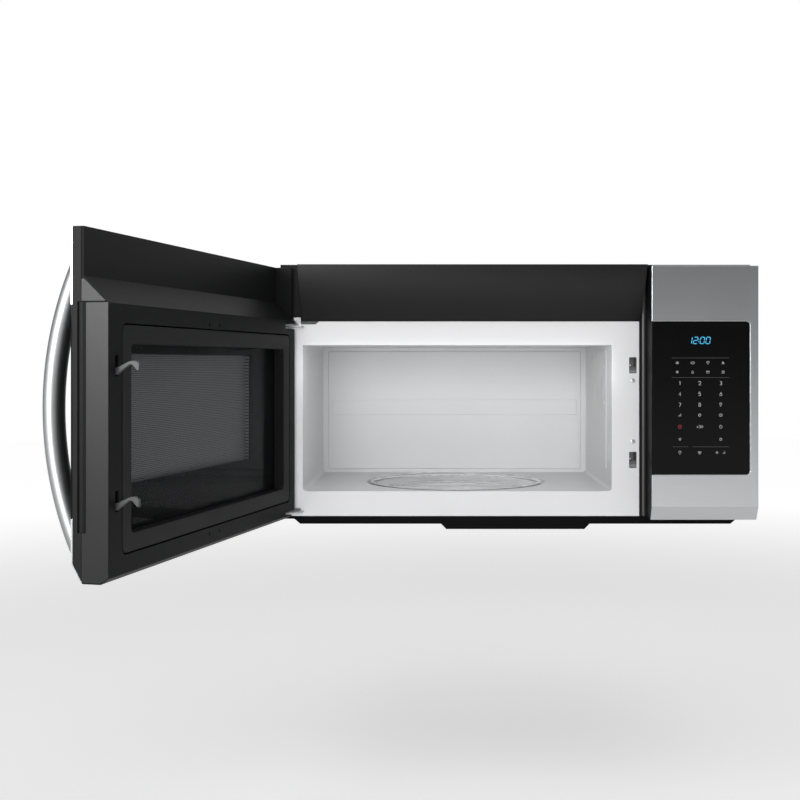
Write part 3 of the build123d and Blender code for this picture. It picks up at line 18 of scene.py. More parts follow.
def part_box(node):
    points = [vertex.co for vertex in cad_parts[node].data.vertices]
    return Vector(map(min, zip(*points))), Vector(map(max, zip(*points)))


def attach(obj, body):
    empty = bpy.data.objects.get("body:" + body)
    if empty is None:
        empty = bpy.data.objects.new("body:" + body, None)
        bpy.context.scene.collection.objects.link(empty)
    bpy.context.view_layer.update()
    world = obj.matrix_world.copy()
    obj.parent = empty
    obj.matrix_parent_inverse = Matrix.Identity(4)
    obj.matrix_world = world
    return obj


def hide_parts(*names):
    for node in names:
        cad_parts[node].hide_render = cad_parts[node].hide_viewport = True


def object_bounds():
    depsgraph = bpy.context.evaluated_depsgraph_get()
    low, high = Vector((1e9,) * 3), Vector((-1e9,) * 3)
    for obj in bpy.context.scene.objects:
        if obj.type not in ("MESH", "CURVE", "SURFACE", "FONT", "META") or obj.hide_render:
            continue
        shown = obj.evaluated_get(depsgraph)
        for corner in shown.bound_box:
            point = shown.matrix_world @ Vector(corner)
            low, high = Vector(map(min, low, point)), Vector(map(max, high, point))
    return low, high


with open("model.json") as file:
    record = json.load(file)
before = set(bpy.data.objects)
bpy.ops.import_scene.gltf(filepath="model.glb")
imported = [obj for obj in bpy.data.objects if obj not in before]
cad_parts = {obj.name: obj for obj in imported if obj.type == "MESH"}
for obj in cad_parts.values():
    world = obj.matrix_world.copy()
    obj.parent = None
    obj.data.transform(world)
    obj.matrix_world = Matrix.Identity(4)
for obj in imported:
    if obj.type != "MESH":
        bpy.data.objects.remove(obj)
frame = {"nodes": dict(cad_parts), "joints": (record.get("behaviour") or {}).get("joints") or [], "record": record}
nodes = frame["nodes"]
record = frame["record"]
solid_box = [list(corner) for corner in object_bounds()]
print("solids", len(nodes), "box", solid_box)

# %% [markdown]
# ## Where the photographer stood
#
# The lines of the cavity run to one point a little right of the picture's middle, so the
# photographer stood square to the oven and moved the frame sideways instead of turning. A
# turned camera would make the uprights lean. A shifted lens keeps them upright, as here.

# %% Camera
MM = 0.001
photo_side = 800
photo_axis = (438.6, 364.0)
camera_place = Vector((-123.9, -2226.0, 226.7)) * MM
sensor_width = 36.0
pixels_per_slope = 1163.0

camera = bpy.data.objects.new("camera", bpy.data.cameras.new("camera"))
bpy.context.scene.collection.objects.link(camera)
bpy.context.scene.camera = camera
camera.location = camera_place
camera.rotation_euler = (math.radians(90), 0, 0)
camera.data.sensor_width = sensor_width
camera.data.lens = pixels_per_slope * sensor_width / photo_side
camera.data.shift_x = (photo_side / 2 - photo_axis[0]) / photo_side
camera.data.shift_y = -(photo_side / 2 - photo_axis[1]) / photo_side
camera.data.clip_end = 50
print("lens", round(camera.data.lens, 2), "mm")

# %% [markdown]
# ## The studio
#
# Dark gloss and brushed steel show what stands around them more than their own colour. Here
# the room is white to the camera and to mirrors and glass, and a plain grey for the soft light
# it gives, so the background adds no light to the object. Behind the camera hangs a dark
# curtain that begins at eye height: it is why the steel is dark above and pale below. A dim
# wall at the left, beyond the oven, keeps the handle's far side from turning white.
#
# A mirrored lamp and a lighting lamp want different places. So the two lamps at the left are
# only mirrored, in steel and gloss, and the one in front only lights.

# %% Small helpers for shader graphs
def feed(tree, socket, term):
    """Joins another node's output to a socket, or sets the socket to a plain value."""
    if isinstance(term, bpy.types.NodeSocket):
        tree.links.new(term, socket)
    else:
        socket.default_value = term


def add(tree, kind, settings=None, **sockets):
    """Adds a shader node; settings are its own options, sockets its inputs by name."""
    node = tree.nodes.new("ShaderNode" + kind)
    for name, value in (settings or {}).items():
        setattr(node, name, value)
    for name, term in sockets.items():
        feed(tree, node.inputs[name.replace("_", " ")], term)
    return node


def calc(tree, operation, *terms, kind="Math", output=0):
    """A Math or VectorMath node's result; each term is a value or another node's output."""
    node = add(tree, kind, {"operation": operation})
    for socket, term in zip(node.inputs, terms):
        feed(tree, socket, term)
    return node.outputs[output]


# A Mix node has sockets for every kind of value: the first of each pair, and the result.
MIX_SOCKETS = {"FLOAT": (2, 0), "VECTOR": (4, 1), "RGBA": (6, 2)}


def mix(tree, kind, factor, first, second):
    """Blends two numbers, vectors or colours."""
    place, result = MIX_SOCKETS[kind]
    node = add(tree, "Mix", {"data_type": kind}, Factor=factor)
    feed(tree, node.inputs[place], first)
    feed(tree, node.inputs[place + 1], second)
    return node.outputs[result]


def reach(tree, value, low, high, out_low=0.0, out_high=1.0):
    """Maps a value from one range to another, smoothly and without leaving it."""
    node = add(tree, "MapRange", {"interpolation_type": "SMOOTHSTEP"}, Value=value)
    limits = {"From Min": low, "From Max": high, "To Min": out_low, "To Max": out_high}
    for name, limit in limits.items():
        node.inputs[name].default_value = limit
    return node.outputs["Result"]


def noise(tree, place, scale, detail, **more):
    """The value of a noise texture."""
    return add(tree, "TexNoise", Vector=place, Scale=scale, Detail=detail, **more).outputs[0]


def object_place(tree):
    """Where a point lies in its object, in metres."""
    return add(tree, "TexCoord").outputs["Object"]


# %% A plain material and a plain object
def shader_input(material, name):
    """One input of a material's shader."""
    return material.node_tree.nodes["Principled BSDF"].inputs[name]


def finish(name, color, roughness, metallic=0.0, specular=0.5):
    """A new material with a plain Principled shader."""
    material = bpy.data.materials.new(name)
    material.use_nodes = True
    shader_input(material, "Base Color").default_value = (*color, 1)
    shader_input(material, "Roughness").default_value = roughness
    shader_input(material, "Metallic").default_value = metallic
    shader_input(material, "Specular IOR Level").default_value = specular
    return material


def as_object(name, shape):
    """Turns a mesh under construction into an object of the scene."""
    mesh = bpy.data.meshes.new(name)
    shape.to_mesh(mesh)
    shape.free()
    piece = bpy.data.objects.new(name, mesh)
    bpy.context.scene.collection.objects.link(piece)
    return piece


# %% World: a white room with a curtain behind the camera
room_light = 0.42
curtain_shade = 0.17
side_shade = 0.25
# Along two axes, the direction in which a shade begins and in which it is full.
curtain_place = (("Y", -0.6, -0.85), ("Z", -0.09, 0.05))
side_place = (("X", -0.1, -0.45), ("Y", 0.0, 0.35))


def build_world():
    """White to the camera, mirrors and glass, and a plain grey light for everything else."""
    world = bpy.data.worlds.new("studio")
    bpy.context.scene.world = world
    world.use_nodes = True
    tree = world.node_tree
    tree.nodes.clear()
    direction = add(tree, "SeparateXYZ", Vector=add(tree, "TexCoord").outputs["Generated"]).outputs
    mirrored = 1.0
    for place, shade in ((curtain_place, curtain_shade), (side_place, side_shade)):
        masks = [reach(tree, direction[axis], begin, full) for axis, begin, full in place]
        dimmed = calc(tree, "MULTIPLY_ADD", calc(tree, "MULTIPLY", *masks), shade - 1.0, 1.0)
        mirrored = calc(tree, "MULTIPLY", mirrored, dimmed)
    path = add(tree, "LightPath").outputs
    shiny = calc(tree, "MAXIMUM", path["Is Glossy Ray"], path["Is Transmission Ray"])
    unseen = mix(tree, "FLOAT", shiny, room_light, mirrored)
    level = mix(tree, "FLOAT", path["Is Camera Ray"], unseen, 1.0)
    background = add(tree, "Background", Color=(1, 1, 1, 1), Strength=level)
    add(tree, "OutputWorld", Surface=background.outputs[0])


build_world()
print("room light", room_light, "curtain", curtain_shade, "side wall", side_shade)
bpy.context.scene.view_settings.view_transform = "Standard"

# %% Lamps
def soft_lamp(name, place, target, size, watts, *hidden_from):
    """A soft box that looks at a target. No glass shows it, because there it only makes specks."""
    lamp = bpy.data.lights.new(name, "AREA")
    lamp.shape = "RECTANGLE"
    lamp.size, lamp.size_y = size
    lamp.energy = watts
    holder = bpy.data.objects.new(name, lamp)
    bpy.context.scene.collection.objects.link(holder)
    holder.location = place
    holder.rotation_euler = (Vector(target) - Vector(place)).to_track_quat("-Z", "Y").to_euler()
    for ray in ("transmission", *hidden_from):
        setattr(holder, "visible_" + ray, False)


soft_lamp("top_box", (0.1, -1.3, 2.3), (0.0, -0.3, 0.1), (3.0, 1.6), 14)
soft_lamp("left_box", (-1.45, -3.0, 0.6), (-0.1, -0.35, 0.25), (0.9, 0.9), 64, "diffuse")
soft_lamp("edge_box", (-2.25, -2.7, 0.7), (-0.3, -0.5, 0.2), (1.0, 0.6), 24, "diffuse")
soft_lamp("front_box", (-0.45, -3.6, 0.5), (-0.1, -0.35, 0.2), (2.0, 1.2), 60, "glossy")

# The oven's own light stands just outside the mouth, above its middle, and looks in and down.
mouth_low, mouth_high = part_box("cavity_box")
mouth_place = (mouth_low + mouth_high) / 2
mouth_place.y = mouth_low.y - 0.02
mouth_place.z += 0.09
inward = mouth_place + Vector((0, 1, -0.1))
soft_lamp("oven_light", mouth_place, inward, (0.48, 0.06), 0.13, "camera", "glossy")

# %% Floor
floor_drop = 0.42
floor_radius = 9.0
# The floor glows less near the oven than far off: a painted shade round the oven.
shaded_near_glow, far_glow = 0.3, 0.62
near_reach, far_reach = 1.2, 4.0


def build_floor():
    """A pale disc well below the oven, as a cooktop would be, with a painted shade near the oven."""
    shape = bmesh.new()
    bmesh.ops.create_circle(shape, cap_ends=True, radius=floor_radius, segments=96)
    floor = as_object("floor", shape)
    floor.location.z = solid_box[0][2] - floor_drop
    material = finish("pale floor", (0.86, 0.86, 0.86), 0.9, specular=0.0)
    tree = material.node_tree
    path = add(tree, "LightPath").outputs
    seen = calc(tree, "MAXIMUM", path["Is Camera Ray"], path["Is Glossy Ray"])
    seen = calc(tree, "MAXIMUM", seen, path["Is Transmission Ray"])
    away = calc(tree, "LENGTH", object_place(tree), kind="VectorMath", output="Value")
    # Weaker glow near the oven, stronger far off: painted shade near the oven.
    glow = reach(tree, away, near_reach, far_reach, shaded_near_glow, far_glow)
    shader_input(material, "Emission Color").default_value = (1, 1, 1, 1)
    feed(tree, shader_input(material, "Emission Strength"), calc(tree, "MULTIPLY", seen, glow))
    floor.data.materials.append(material)


build_floor()
print("floor", floor_drop, "m under the oven")

# %% [markdown]
# ## Effects that several finishes share
#
# Brushing, moulded grain, worn edges, smears and dust turn up on many pieces. Each is a node
# group that is built once and given its own numbers where it is used. A group only puts out a
# mask or a height, and the shader that uses it stays in the material.

# %% Node group maker
EFFECTS = {}


def make_effect(key, name, inputs, outputs, build):
    """A node group with float inputs (name: value) and float outputs, filled by a function."""
    tree = EFFECTS[key] = bpy.data.node_groups.new(name, "ShaderNodeTree")
    for label, value in inputs.items():
        socket = tree.interface.new_socket(label, in_out="INPUT", socket_type="NodeSocketFloat")
        socket.default_value = value
    for label in outputs:
        tree.interface.new_socket(label, in_out="OUTPUT", socket_type="NodeSocketFloat")
    given = tree.nodes.new("NodeGroupInput").outputs
    wanted = tree.nodes.new("NodeGroupOutput").inputs
    results = build(tree, *[given[label] for label in inputs])
    for label, result in zip(outputs, results):
        tree.links.new(result, wanted[label])


def turned_place(tree, turn):
    """Object coordinates turned about the vertical, so that X runs along a swung door."""
    place = object_place(tree)
    return add(tree, "VectorRotate", {"rotation_type": "Z_AXIS"}, Vector=place, Angle=turn).outputs[0]


def scaled(tree, vector, x, y, z):
    """A vector with each part multiplied by its own number or output."""
    parts = add(tree, "CombineXYZ", X=x, Y=y, Z=z).outputs[0]
    return calc(tree, "MULTIPLY", vector, parts, kind="VectorMath")


# %% Brushed, moulded and rolled grain
def brushed(tree, turn, along, across, upright):
    """Long fine scratches along X (or Z), with slow bands across them."""
    place = turned_place(tree, turn)
    flat = scaled(tree, place, along, across, across)
    tall = scaled(tree, place, across, across, along)
    stretched = mix(tree, "VECTOR", upright, flat, tall)
    return noise(tree, stretched, 1.0, 3.0, Roughness=0.6), noise(tree, stretched, 0.02, 1.0)


def grain(tree, size):
    """Fine isotropic texture: leathery on plastic, orange peel on enamel."""
    place = object_place(tree)
    scale = calc(tree, "DIVIDE", 1.0, size)
    mottle = noise(tree, place, calc(tree, "MULTIPLY", scale, 0.02), 3.0)
    return noise(tree, place, scale, 2.0, Roughness=0.55), mottle


scratches = {"Turn": 0.0, "Along": 14.0, "Across": 2400.0, "Upright": 0.0}
make_effect("brushed", "brushed grain", scratches, ["Streaks", "Bands"], brushed)
make_effect("grain", "fine grain", {"Size": 0.0008}, ["Height", "Mottle"], grain)


# %% Worn edges, smears and dust
def edges(tree, width, amount):
    """White where the surface bends within a small width: edges that hands and cloths polish."""
    bent = add(tree, "Bevel", {"samples": 4}, Radius=width).outputs[0]
    facing = add(tree, "NewGeometry").outputs["Normal"]
    same = calc(tree, "DOT_PRODUCT", bent, facing, kind="VectorMath", output="Value")
    edge = reach(tree, calc(tree, "SUBTRACT", 1.0, same), 0.02, 0.25)
    broken = reach(tree, noise(tree, object_place(tree), 60.0, 3.0), 0.35, 0.6, 0.35, 1.0)
    return [calc(tree, "MULTIPLY", calc(tree, "MULTIPLY", edge, broken), amount)]


def smears(tree, size, amount):
    """Wiped patches and faint finger marks on a glossy face."""
    place = object_place(tree)
    scale = calc(tree, "DIVIDE", 1.0, size)
    patch = reach(tree, noise(tree, place, scale, 4.0, Distortion=1.2), 0.45, 0.72)
    wiped = noise(tree, scaled(tree, place, 40.0, 40.0, 220.0), 1.0, 2.0, Distortion=0.6)
    mask = calc(tree, "MULTIPLY", patch, reach(tree, wiped, 0.35, 0.75, 0.4, 1.0))
    return [calc(tree, "MULTIPLY", mask, amount)]


def dust(tree, amount):
    """A thin film that settles on faces that look up."""
    up = add(tree, "SeparateXYZ", Vector=add(tree, "NewGeometry").outputs["Normal"]).outputs["Z"]
    cloud = noise(tree, object_place(tree), 14.0, 6.0, Roughness=0.65)
    film = calc(tree, "MULTIPLY", reach(tree, up, 0.6, 1.0), reach(tree, cloud, 0.3, 0.75))
    return [calc(tree, "MULTIPLY", film, amount)]


make_effect("edges", "worn edges", {"Width": 0.0008, "Amount": 0.6}, ["Mask"], edges)
make_effect("smears", "smears", {"Size": 0.09, "Amount": 0.5}, ["Mask"], smears)
make_effect("dust", "settled dust", {"Amount": 0.3}, ["Mask"], dust)


# %% Punched holes, wire mesh and stacked layers
def cell_distance(tree, place, pitch, shift):
    """Distance to the nearest cell centre of a grid in X and Z, moved by part of a pitch."""
    tall = calc(tree, "MULTIPLY", pitch, math.sqrt(3))
    parts = add(tree, "SeparateXYZ", Vector=place).outputs
    square = 0.0
    for axis, step in (("X", pitch), ("Z", tall)):
        cells = calc(tree, "ADD", calc(tree, "DIVIDE", parts[axis], step), shift)
        off = calc(tree, "SUBTRACT", calc(tree, "FRACT", cells), 0.5)
        length = calc(tree, "MULTIPLY", off, step)
        square = calc(tree, "MULTIPLY_ADD", length, length, square)
    return calc(tree, "SQRT", square)


def holes(tree, turn, pitch, radius):
    """Round holes in staggered rows, as in the punched sheet of an oven door."""
    place = turned_place(tree, turn)
    rows = [cell_distance(tree, place, pitch, shift) for shift in (0.0, 0.5)]
    ratio = calc(tree, "DIVIDE", calc(tree, "MINIMUM", *rows), radius)
    return [reach(tree, ratio, 1.15, 0.9)]


def wires(tree, pitch):
    """Slanting wires in two directions, as in layered filter mesh."""
    parts = add(tree, "SeparateXYZ", Vector=object_place(tree)).outputs
    x, y = parts["X"], calc(tree, "MULTIPLY", parts["Y"], 1.7)
    both = []
    for operation in ("ADD", "SUBTRACT"):
        along = calc(tree, "DIVIDE", calc(tree, operation, x, y), pitch)
        away = calc(tree, "ABSOLUTE", calc(tree, "SUBTRACT", calc(tree, "FRACT", along), 0.5))
        both.append(reach(tree, away, 0.2, 0.02))
    return [calc(tree, "MAXIMUM", *both)]


def layers(tree, pitch, along_y):
    """Even stripes along one axis: stacked sheets or turns of wire."""
    parts = add(tree, "SeparateXYZ", Vector=object_place(tree)).outputs
    along = mix(tree, "FLOAT", along_y, parts["Z"], parts["Y"])
    turns = calc(tree, "MULTIPLY", calc(tree, "DIVIDE", along, pitch), math.tau)
    return [calc(tree, "MULTIPLY_ADD", calc(tree, "SINE", turns), 0.5, 0.5)]


punches = {"Turn": 0.0, "Pitch": 0.002, "Radius": 0.0007}
make_effect("holes", "punched holes", punches, ["Hole"], holes)
make_effect("mesh", "filter mesh", {"Pitch": 0.004}, ["Wire"], wires)
make_effect("layers", "layers", {"Pitch": 0.001, "AlongY": 0.0}, ["Stripe"], layers)
print("effects", sorted(EFFECTS))

# %% [markdown]
# ## Finishes
#
# A finish starts from a plain shader with its constant values set on the shader itself. Then
# small functions lay effects over it: one tints the colour by a mask, one moves the roughness,
# one adds relief. They can be called in any order, because each takes what is already linked
# and works on top of it.

# %% Ways to work on a finish
def effect(material, name, output, **values):
    """One output of an effect group, with the group's inputs set."""
    node = material.node_tree.nodes.new("ShaderNodeGroup")
    node.node_tree = EFFECTS[name]
    for socket, value in values.items():
        node.inputs[socket].default_value = value
    return node.outputs[output]


def current(socket):
    """What a socket has now: the output linked to it, or its plain value."""
    if socket.is_linked:
        return socket.links[0].from_socket
    value = socket.default_value
    return tuple(value) if hasattr(value, "__len__") else value


def tint(material, mask, color, strength):
    """Mixes a colour over the base colour where a mask is white."""
    tree = material.node_tree
    base = shader_input(material, "Base Color")
    factor = calc(tree, "MULTIPLY", mask, strength)
    feed(tree, base, mix(tree, "RGBA", factor, current(base), (*color, 1)))


def roughen(material, mask, change):
    """Adds a change to the roughness where a mask is white."""
    tree = material.node_tree
    socket = shader_input(material, "Roughness")
    feed(tree, socket, calc(tree, "MULTIPLY_ADD", mask, change, current(socket)))


def emboss(material, height, distance):
    """Lays relief over the surface, on top of any relief it has."""
    tree = material.node_tree
    socket = shader_input(material, "Normal")
    bump = add(tree, "Bump", Height=height, Distance=distance)
    if socket.is_linked:
        feed(tree, bump.inputs["Normal"], socket.links[0].from_socket)
    feed(tree, socket, bump.outputs[0])


def wear(material, width, color, strength):
    """Tints the edges, where hands and cloths thin a finish."""
    tint(material, effect(material, "edges", "Mask", Width=width), color, strength)


# %% [markdown]
# ### Brushed stainless steel
#
# The face of the door and of the control panel is stainless sheet, brushed from side to side.
# It could be drawn with stretched scratches in the colour alone, but then it stays flat when a
# lamp moves. Here the scratches also move the roughness and a very shallow relief. The same
# finish is made three times, because the scratches follow the swung door and run up the handle,
# which is also duller, and darker by a painted shade on the same steel.

# %% Steel
door_turn = math.radians(103.4)
# The sheet's own colour, and those of its pale streaks and its dim bands.
STEEL_TONES = ((0.49, 0.5, 0.515), (0.55, 0.56, 0.575), (0.44, 0.45, 0.465))


def brushed_steel(name, turn=0.0, upright=0.0, roughness=0.2, relief=0.00001, shade=1.0):
    """Stainless sheet with fine streaks."""
    # A shade below 1 makes every colour of the steel darker: a painted shade.
    base, pale, dim = ([shade * part for part in tone] for tone in STEEL_TONES)
    material = finish(name, base, roughness, metallic=1.0)
    way = {"Turn": turn, "Upright": upright}
    streaks = effect(material, "brushed", "Streaks", **way)
    tint(material, streaks, pale, 0.4)
    tint(material, effect(material, "brushed", "Bands", **way), dim, 0.2)
    roughen(material, streaks, 0.08)
    roughen(material, effect(material, "smears", "Mask", Size=0.12, Amount=0.5), 0.025)
    emboss(material, streaks, relief)
    wear(material, 0.0006, (0.85, 0.86, 0.87), 0.6)
    return material


# Each finish is kept under the record's slot, or under a node's name where that node differs.
FINISHES = {
    "satin_stainless": brushed_steel("brushed steel, panel"),
    "door_skin": brushed_steel("brushed steel, door", door_turn, roughness=0.22, relief=0.000004),
    # The handle is the same steel, darker by a painted shade.
    "door_handle": brushed_steel(
        "brushed steel, handle, painted shade", door_turn, upright=1.0, roughness=0.4, relief=0.000002, shade=0.56
    ),
}

# %% [markdown]
# ### Enamels
#
# The frame around the mouth is glossy white enamel, the cavity a duller light grey one, and
# the case and the underside are black. Enamel is sprayed on and melts, so it is never quite
# flat: a faint orange peel breaks up what it mirrors, and a bent edge gets a thinner, paler coat.

# %% Enamels
def enamel(name, color, roughness, peel, specular=0.5, edge=(0.5, 0.5, 0.5), edge_wear=0.15, dust=0.0):
    """Baked enamel with orange peel, slight mottling and thin edges."""
    material = finish(name, color, roughness, specular=specular)
    darker = tuple(part * 0.9 for part in color)
    tint(material, effect(material, "grain", "Mottle", Size=0.002), darker, 0.5)
    roughen(material, effect(material, "smears", "Mask", Size=0.15), 0.03)
    emboss(material, effect(material, "grain", "Height", Size=0.0018), peel)
    wear(material, 0.0007, edge, edge_wear)
    if dust:
        mask = effect(material, "dust", "Mask", Amount=dust)
        tint(material, mask, (0.35, 0.34, 0.32), 0.5)
        roughen(material, mask, 0.3)
    return material


# Name, colour, roughness and depth of the peel, then mirror strength, edge colour and edge wear.
pale_edge, dark_edge, black_edge = ((tone, tone, tone) for tone in (0.9, 0.08, 0.05))
FINISHES |= {
    "white_enamel": enamel("white enamel", (0.7, 0.7, 0.71), 0.25, 0.00003, edge_wear=0.0),
    "cavity_enamel": enamel("grey cavity enamel", (0.72, 0.725, 0.735), 0.35, 0.00005, 0.5, pale_edge, 0.4),
    "black_steel": enamel("black case enamel", (0.006, 0.006, 0.0065), 0.4, 0.00004, 0.15, dust=0.15),
    "door_pan": enamel("black door enamel", (0.007, 0.0072, 0.0077), 0.45, 0.00004, 0.05, dark_edge),
    "base_enamel": enamel("black underside enamel", (0.003, 0.003, 0.0033), 0.5, 0.00005, 0.04, black_edge),
}

# %% [markdown]
# ### Plastics
#
# Moulded plastic carries the texture of its mould: fine and leathery on the frames, polished on
# the vent cover. A grain that is too coarse makes a part look like a toy, so its size is set in
# real millimetres.

# %% Plastics
def moulded(name, color, roughness, grain_size, depth, specular=0.4, edge=0.1):
    """Moulded plastic with the grain of its mould."""
    material = finish(name, color, roughness, specular=specular)
    lighter = tuple(min(1.0, part * 1.25 + 0.004) for part in color)
    tint(material, effect(material, "grain", "Mottle", Size=grain_size), lighter, 0.6)
    emboss(material, effect(material, "grain", "Height", Size=grain_size), depth)
    roughen(material, effect(material, "smears", "Mask", Size=0.1), 0.07)
    wear(material, 0.0005, (0.5, 0.5, 0.5), edge)
    return material


# Name, colour, roughness, size and depth of the grain, then mirror strength and edge wear.
FINISHES |= {
    "black_plastic": moulded(
        "fine black plastic", (0.0065, 0.0065, 0.007), 0.48, 0.0009, 0.00005, 0.1, 0.05
    ),
    "gloss_black_plastic": moulded(
        "polished black plastic", (0.0015, 0.0016, 0.0019), 0.4, 0.004, 0.000006, 0.25, 0.05
    ),
    "grey_plastic": moulded("grey trim plastic", (0.007, 0.0072, 0.0078), 0.33, 0.0009, 0.00004, 0.25),
    # The latch housing is mid grey rather than white: its grey is partly a painted shade for the slots it lies in.
    "latch_housing": moulded("grey housing plastic, painted shade", (0.2, 0.2, 0.2), 0.5, 0.0009, 0.00004),
    "latch_hooks": moulded("dark grey nylon", (0.03, 0.0305, 0.032), 0.42, 0.0009, 0.00004),
    "white_plastic": moulded("white plastic", (0.74, 0.74, 0.72), 0.42, 0.0012, 0.00004),
    "charcoal": moulded("charcoal granules", (0.02, 0.02, 0.02), 0.85, 0.0022, 0.0012, 0.2),
    "circuit_board": moulded("solder mask", (0.03, 0.14, 0.06), 0.3, 0.003, 0.00004, 0.5),
}
soft_trim = moulded("dark grey soft trim", (0.035, 0.0355, 0.037), 0.38, 0.0009, 0.00003, 0.5)

# %% [markdown]
# ### Glass
#
# There are four glasses: black printed glass in front, clear glass inside the door, the pressed
# tray and the ribbed lenses below. Real glass is faintly green and its edge shows it, so the
# clear ones have a slight tint here, and their exact thickness from the solids.

# %% Glasses
def build_black_glass():
    """Polished glass printed black on its back, for the door, the panel and the clock's pane."""
    material = finish("black printed glass", (0.003, 0.003, 0.0032), 0.07, specular=0.1)
    roughen(material, effect(material, "smears", "Mask", Size=0.07, Amount=0.8), 0.12)
    emboss(material, effect(material, "grain", "Height", Size=0.03), 0.00001)
    wear(material, 0.0005, (0.2, 0.22, 0.22), 0.3)
    return material


def clear_glass(name, color, wave, size, ior=1.5):
    """Clear glass with the slight waves of its pressing, which lets light pass to what it covers."""
    material = finish(name, color, 0.0)
    shader_input(material, "Transmission Weight").default_value = 1.0
    shader_input(material, "IOR").default_value = ior
    tree = material.node_tree
    shadow = add(tree, "LightPath").outputs["Is Shadow Ray"]
    feed(tree, shader_input(material, "Alpha"), calc(tree, "MULTIPLY_ADD", shadow, -0.9, 1.0))
    emboss(material, effect(material, "grain", "Height", Size=size), wave)
    return material


# Name, tint, depth and size of the waves.
FINISHES |= {
    "black_glass": build_black_glass(),
    "clear_glass": clear_glass("pressed tray glass", (0.97, 0.985, 0.98), 0.00001, 0.02),
    "door_window_glass": clear_glass("door window film", (0.9, 0.91, 0.91), 0.000004, 0.04, ior=1.05),
    "lamp_lenses": clear_glass("ribbed lens glass", (0.95, 0.95, 0.93), 0.0006, 0.006),
}

# %% [markdown]
# ### Sheets, meshes and inner parts
#
# Behind the door's window lies a punched sheet that keeps the microwaves in and lets the eye
# through. Modelling its thousands of holes would cost far more than it shows, so they are a
# mask of round cells: dark where there is a hole. The grease filters are done in the same way.

# %% Punched sheet and filter mesh
def build_punched():
    """Black sheet, grey here as a painted sheen, with fine holes that show the dark behind them."""
    # The sheet is black; its grey colour is a painted sheen for the light it catches.
    material = finish("punched sheet, painted sheen", (0.12, 0.123, 0.128), 0.4)
    hole = effect(material, "holes", "Hole", Turn=door_turn, Pitch=0.0027, Radius=0.00102)
    tint(material, hole, (0.01, 0.01, 0.011), 1.0)
    roughen(material, hole, 0.3)
    emboss(material, hole, -0.0002)
    return material


def build_filter():
    """Layers of aluminium mesh in a rolled rim."""
    material = finish("aluminium filter mesh", (0.2, 0.2, 0.2), 0.5, metallic=0.8)
    for pitch, color in ((0.0061, (0.45, 0.45, 0.46)), (0.0043, (0.7, 0.7, 0.71))):
        wire = effect(material, "mesh", "Wire", Pitch=pitch)
        tint(material, wire, color, 0.85)
        emboss(material, wire, 0.0006)
    tint(material, effect(material, "grain", "Mottle", Size=0.001), (0.3, 0.26, 0.18), 0.25)
    return material


FINISHES |= {"perforated_steel": build_punched(), "filter_mesh": build_filter()}

# %% Metals inside
def plated(name, color, roughness, spangle, metallic=1.0):
    """Plated or bare metal with crystals or a rolled surface."""
    material = finish(name, color, roughness, metallic=metallic)
    mottle = effect(material, "grain", "Mottle", Size=spangle)
    tint(material, mottle, tuple(part * 0.75 for part in color), 0.7)
    roughen(material, mottle, 0.15)
    emboss(material, effect(material, "grain", "Height", Size=spangle), 0.00003)
    wear(material, 0.0005, (0.9, 0.9, 0.9), 0.4)
    return material


def layered(name, color, dark, pitch, along_y, metallic):
    """Stacked sheets or turns of wire."""
    material = finish(name, color, 0.42, metallic=metallic)
    stripe = effect(material, "layers", "Stripe", Pitch=pitch, AlongY=along_y)
    tint(material, stripe, dark, 0.8)
    emboss(material, stripe, -0.0002)
    roughen(material, effect(material, "grain", "Mottle", Size=0.002), 0.2)
    return material


# For plate: name, colour, roughness, size of the spangle. For layers: name, both colours, pitch,
# whether they are stacked along Y, and how metallic they are.
pale_wire, dark_wire = (0.45, 0.45, 0.46), (0.08, 0.08, 0.08)
pale_core, dark_core = (0.2, 0.2, 0.2), (0.06, 0.06, 0.06)
FINISHES |= {
    "galvanised_steel": plated("zinc-plated sheet", (0.6, 0.61, 0.62), 0.32, 0.0005),
    "screw_steel": plated("zinc-plated screws", (0.62, 0.62, 0.63), 0.25, 0.0003),
    "aluminium_can": plated("drawn aluminium", (0.7, 0.7, 0.71), 0.3, 0.0004),
    "mica": plated("mica board", (0.83, 0.83, 0.825), 0.4, 0.0006, metallic=0.0),
    "spring_steel": layered("spring wire", pale_wire, dark_wire, 0.0016, 0.0, 1.0),
    "core_steel": layered("stacked core sheets", pale_core, dark_core, 0.001, 1.0, 0.6),
    "copper_winding": layered(
        "enamelled copper wire", (0.6, 0.24, 0.1), (0.2, 0.06, 0.02), 0.0012, 0.0, 0.7
    ),
}

# %% Give every solid its finish
for subpart in record["subparts"]:
    name = subpart["node"]
    materials = nodes[name].data.materials
    materials.clear()
    materials.append(FINISHES.get(name) or FINISHES[subpart["material_slot"]])
print("dressed", len(record["subparts"]), "solids with", len(FINISHES), "finishes")

# %% [markdown]
# ## Soft edges
#
# No sheet or moulding has a perfectly sharp edge, and the thin line of light along one is what
# makes it look real. A bevel modifier rounds every edge of a solid by a fraction of a millimetre.
# The solids come in with their faces apart and cut into triangles. So a weld joins them first,
# and each flat face is made whole again, or the rounding would follow the triangles' edges.

# %% Bevelled edges
FILTERS = ("grease_filter_left", "grease_filter_right")
# Radius in millimetres, and the nodes whose edges have it.
EDGE_RADII = {
    0.8: ("front_frame", "control_bezel", "door_skin", "vent_end_cap"),
    0.7: ("choke_cover",),
    0.6: ("outer_case", "base_plate", "door_frame", "latch_hooks", "cord_gland", *FILTERS),
    0.5: ("touch_panel_glass", "door_front_glass", "control_frame", "lamp_lenses"),
    0.4: ("hinge_bracket_upper", "hinge_bracket_lower", "latch_housing"),
    0.3: ("door_edge_trim", "mica_cover"),
}


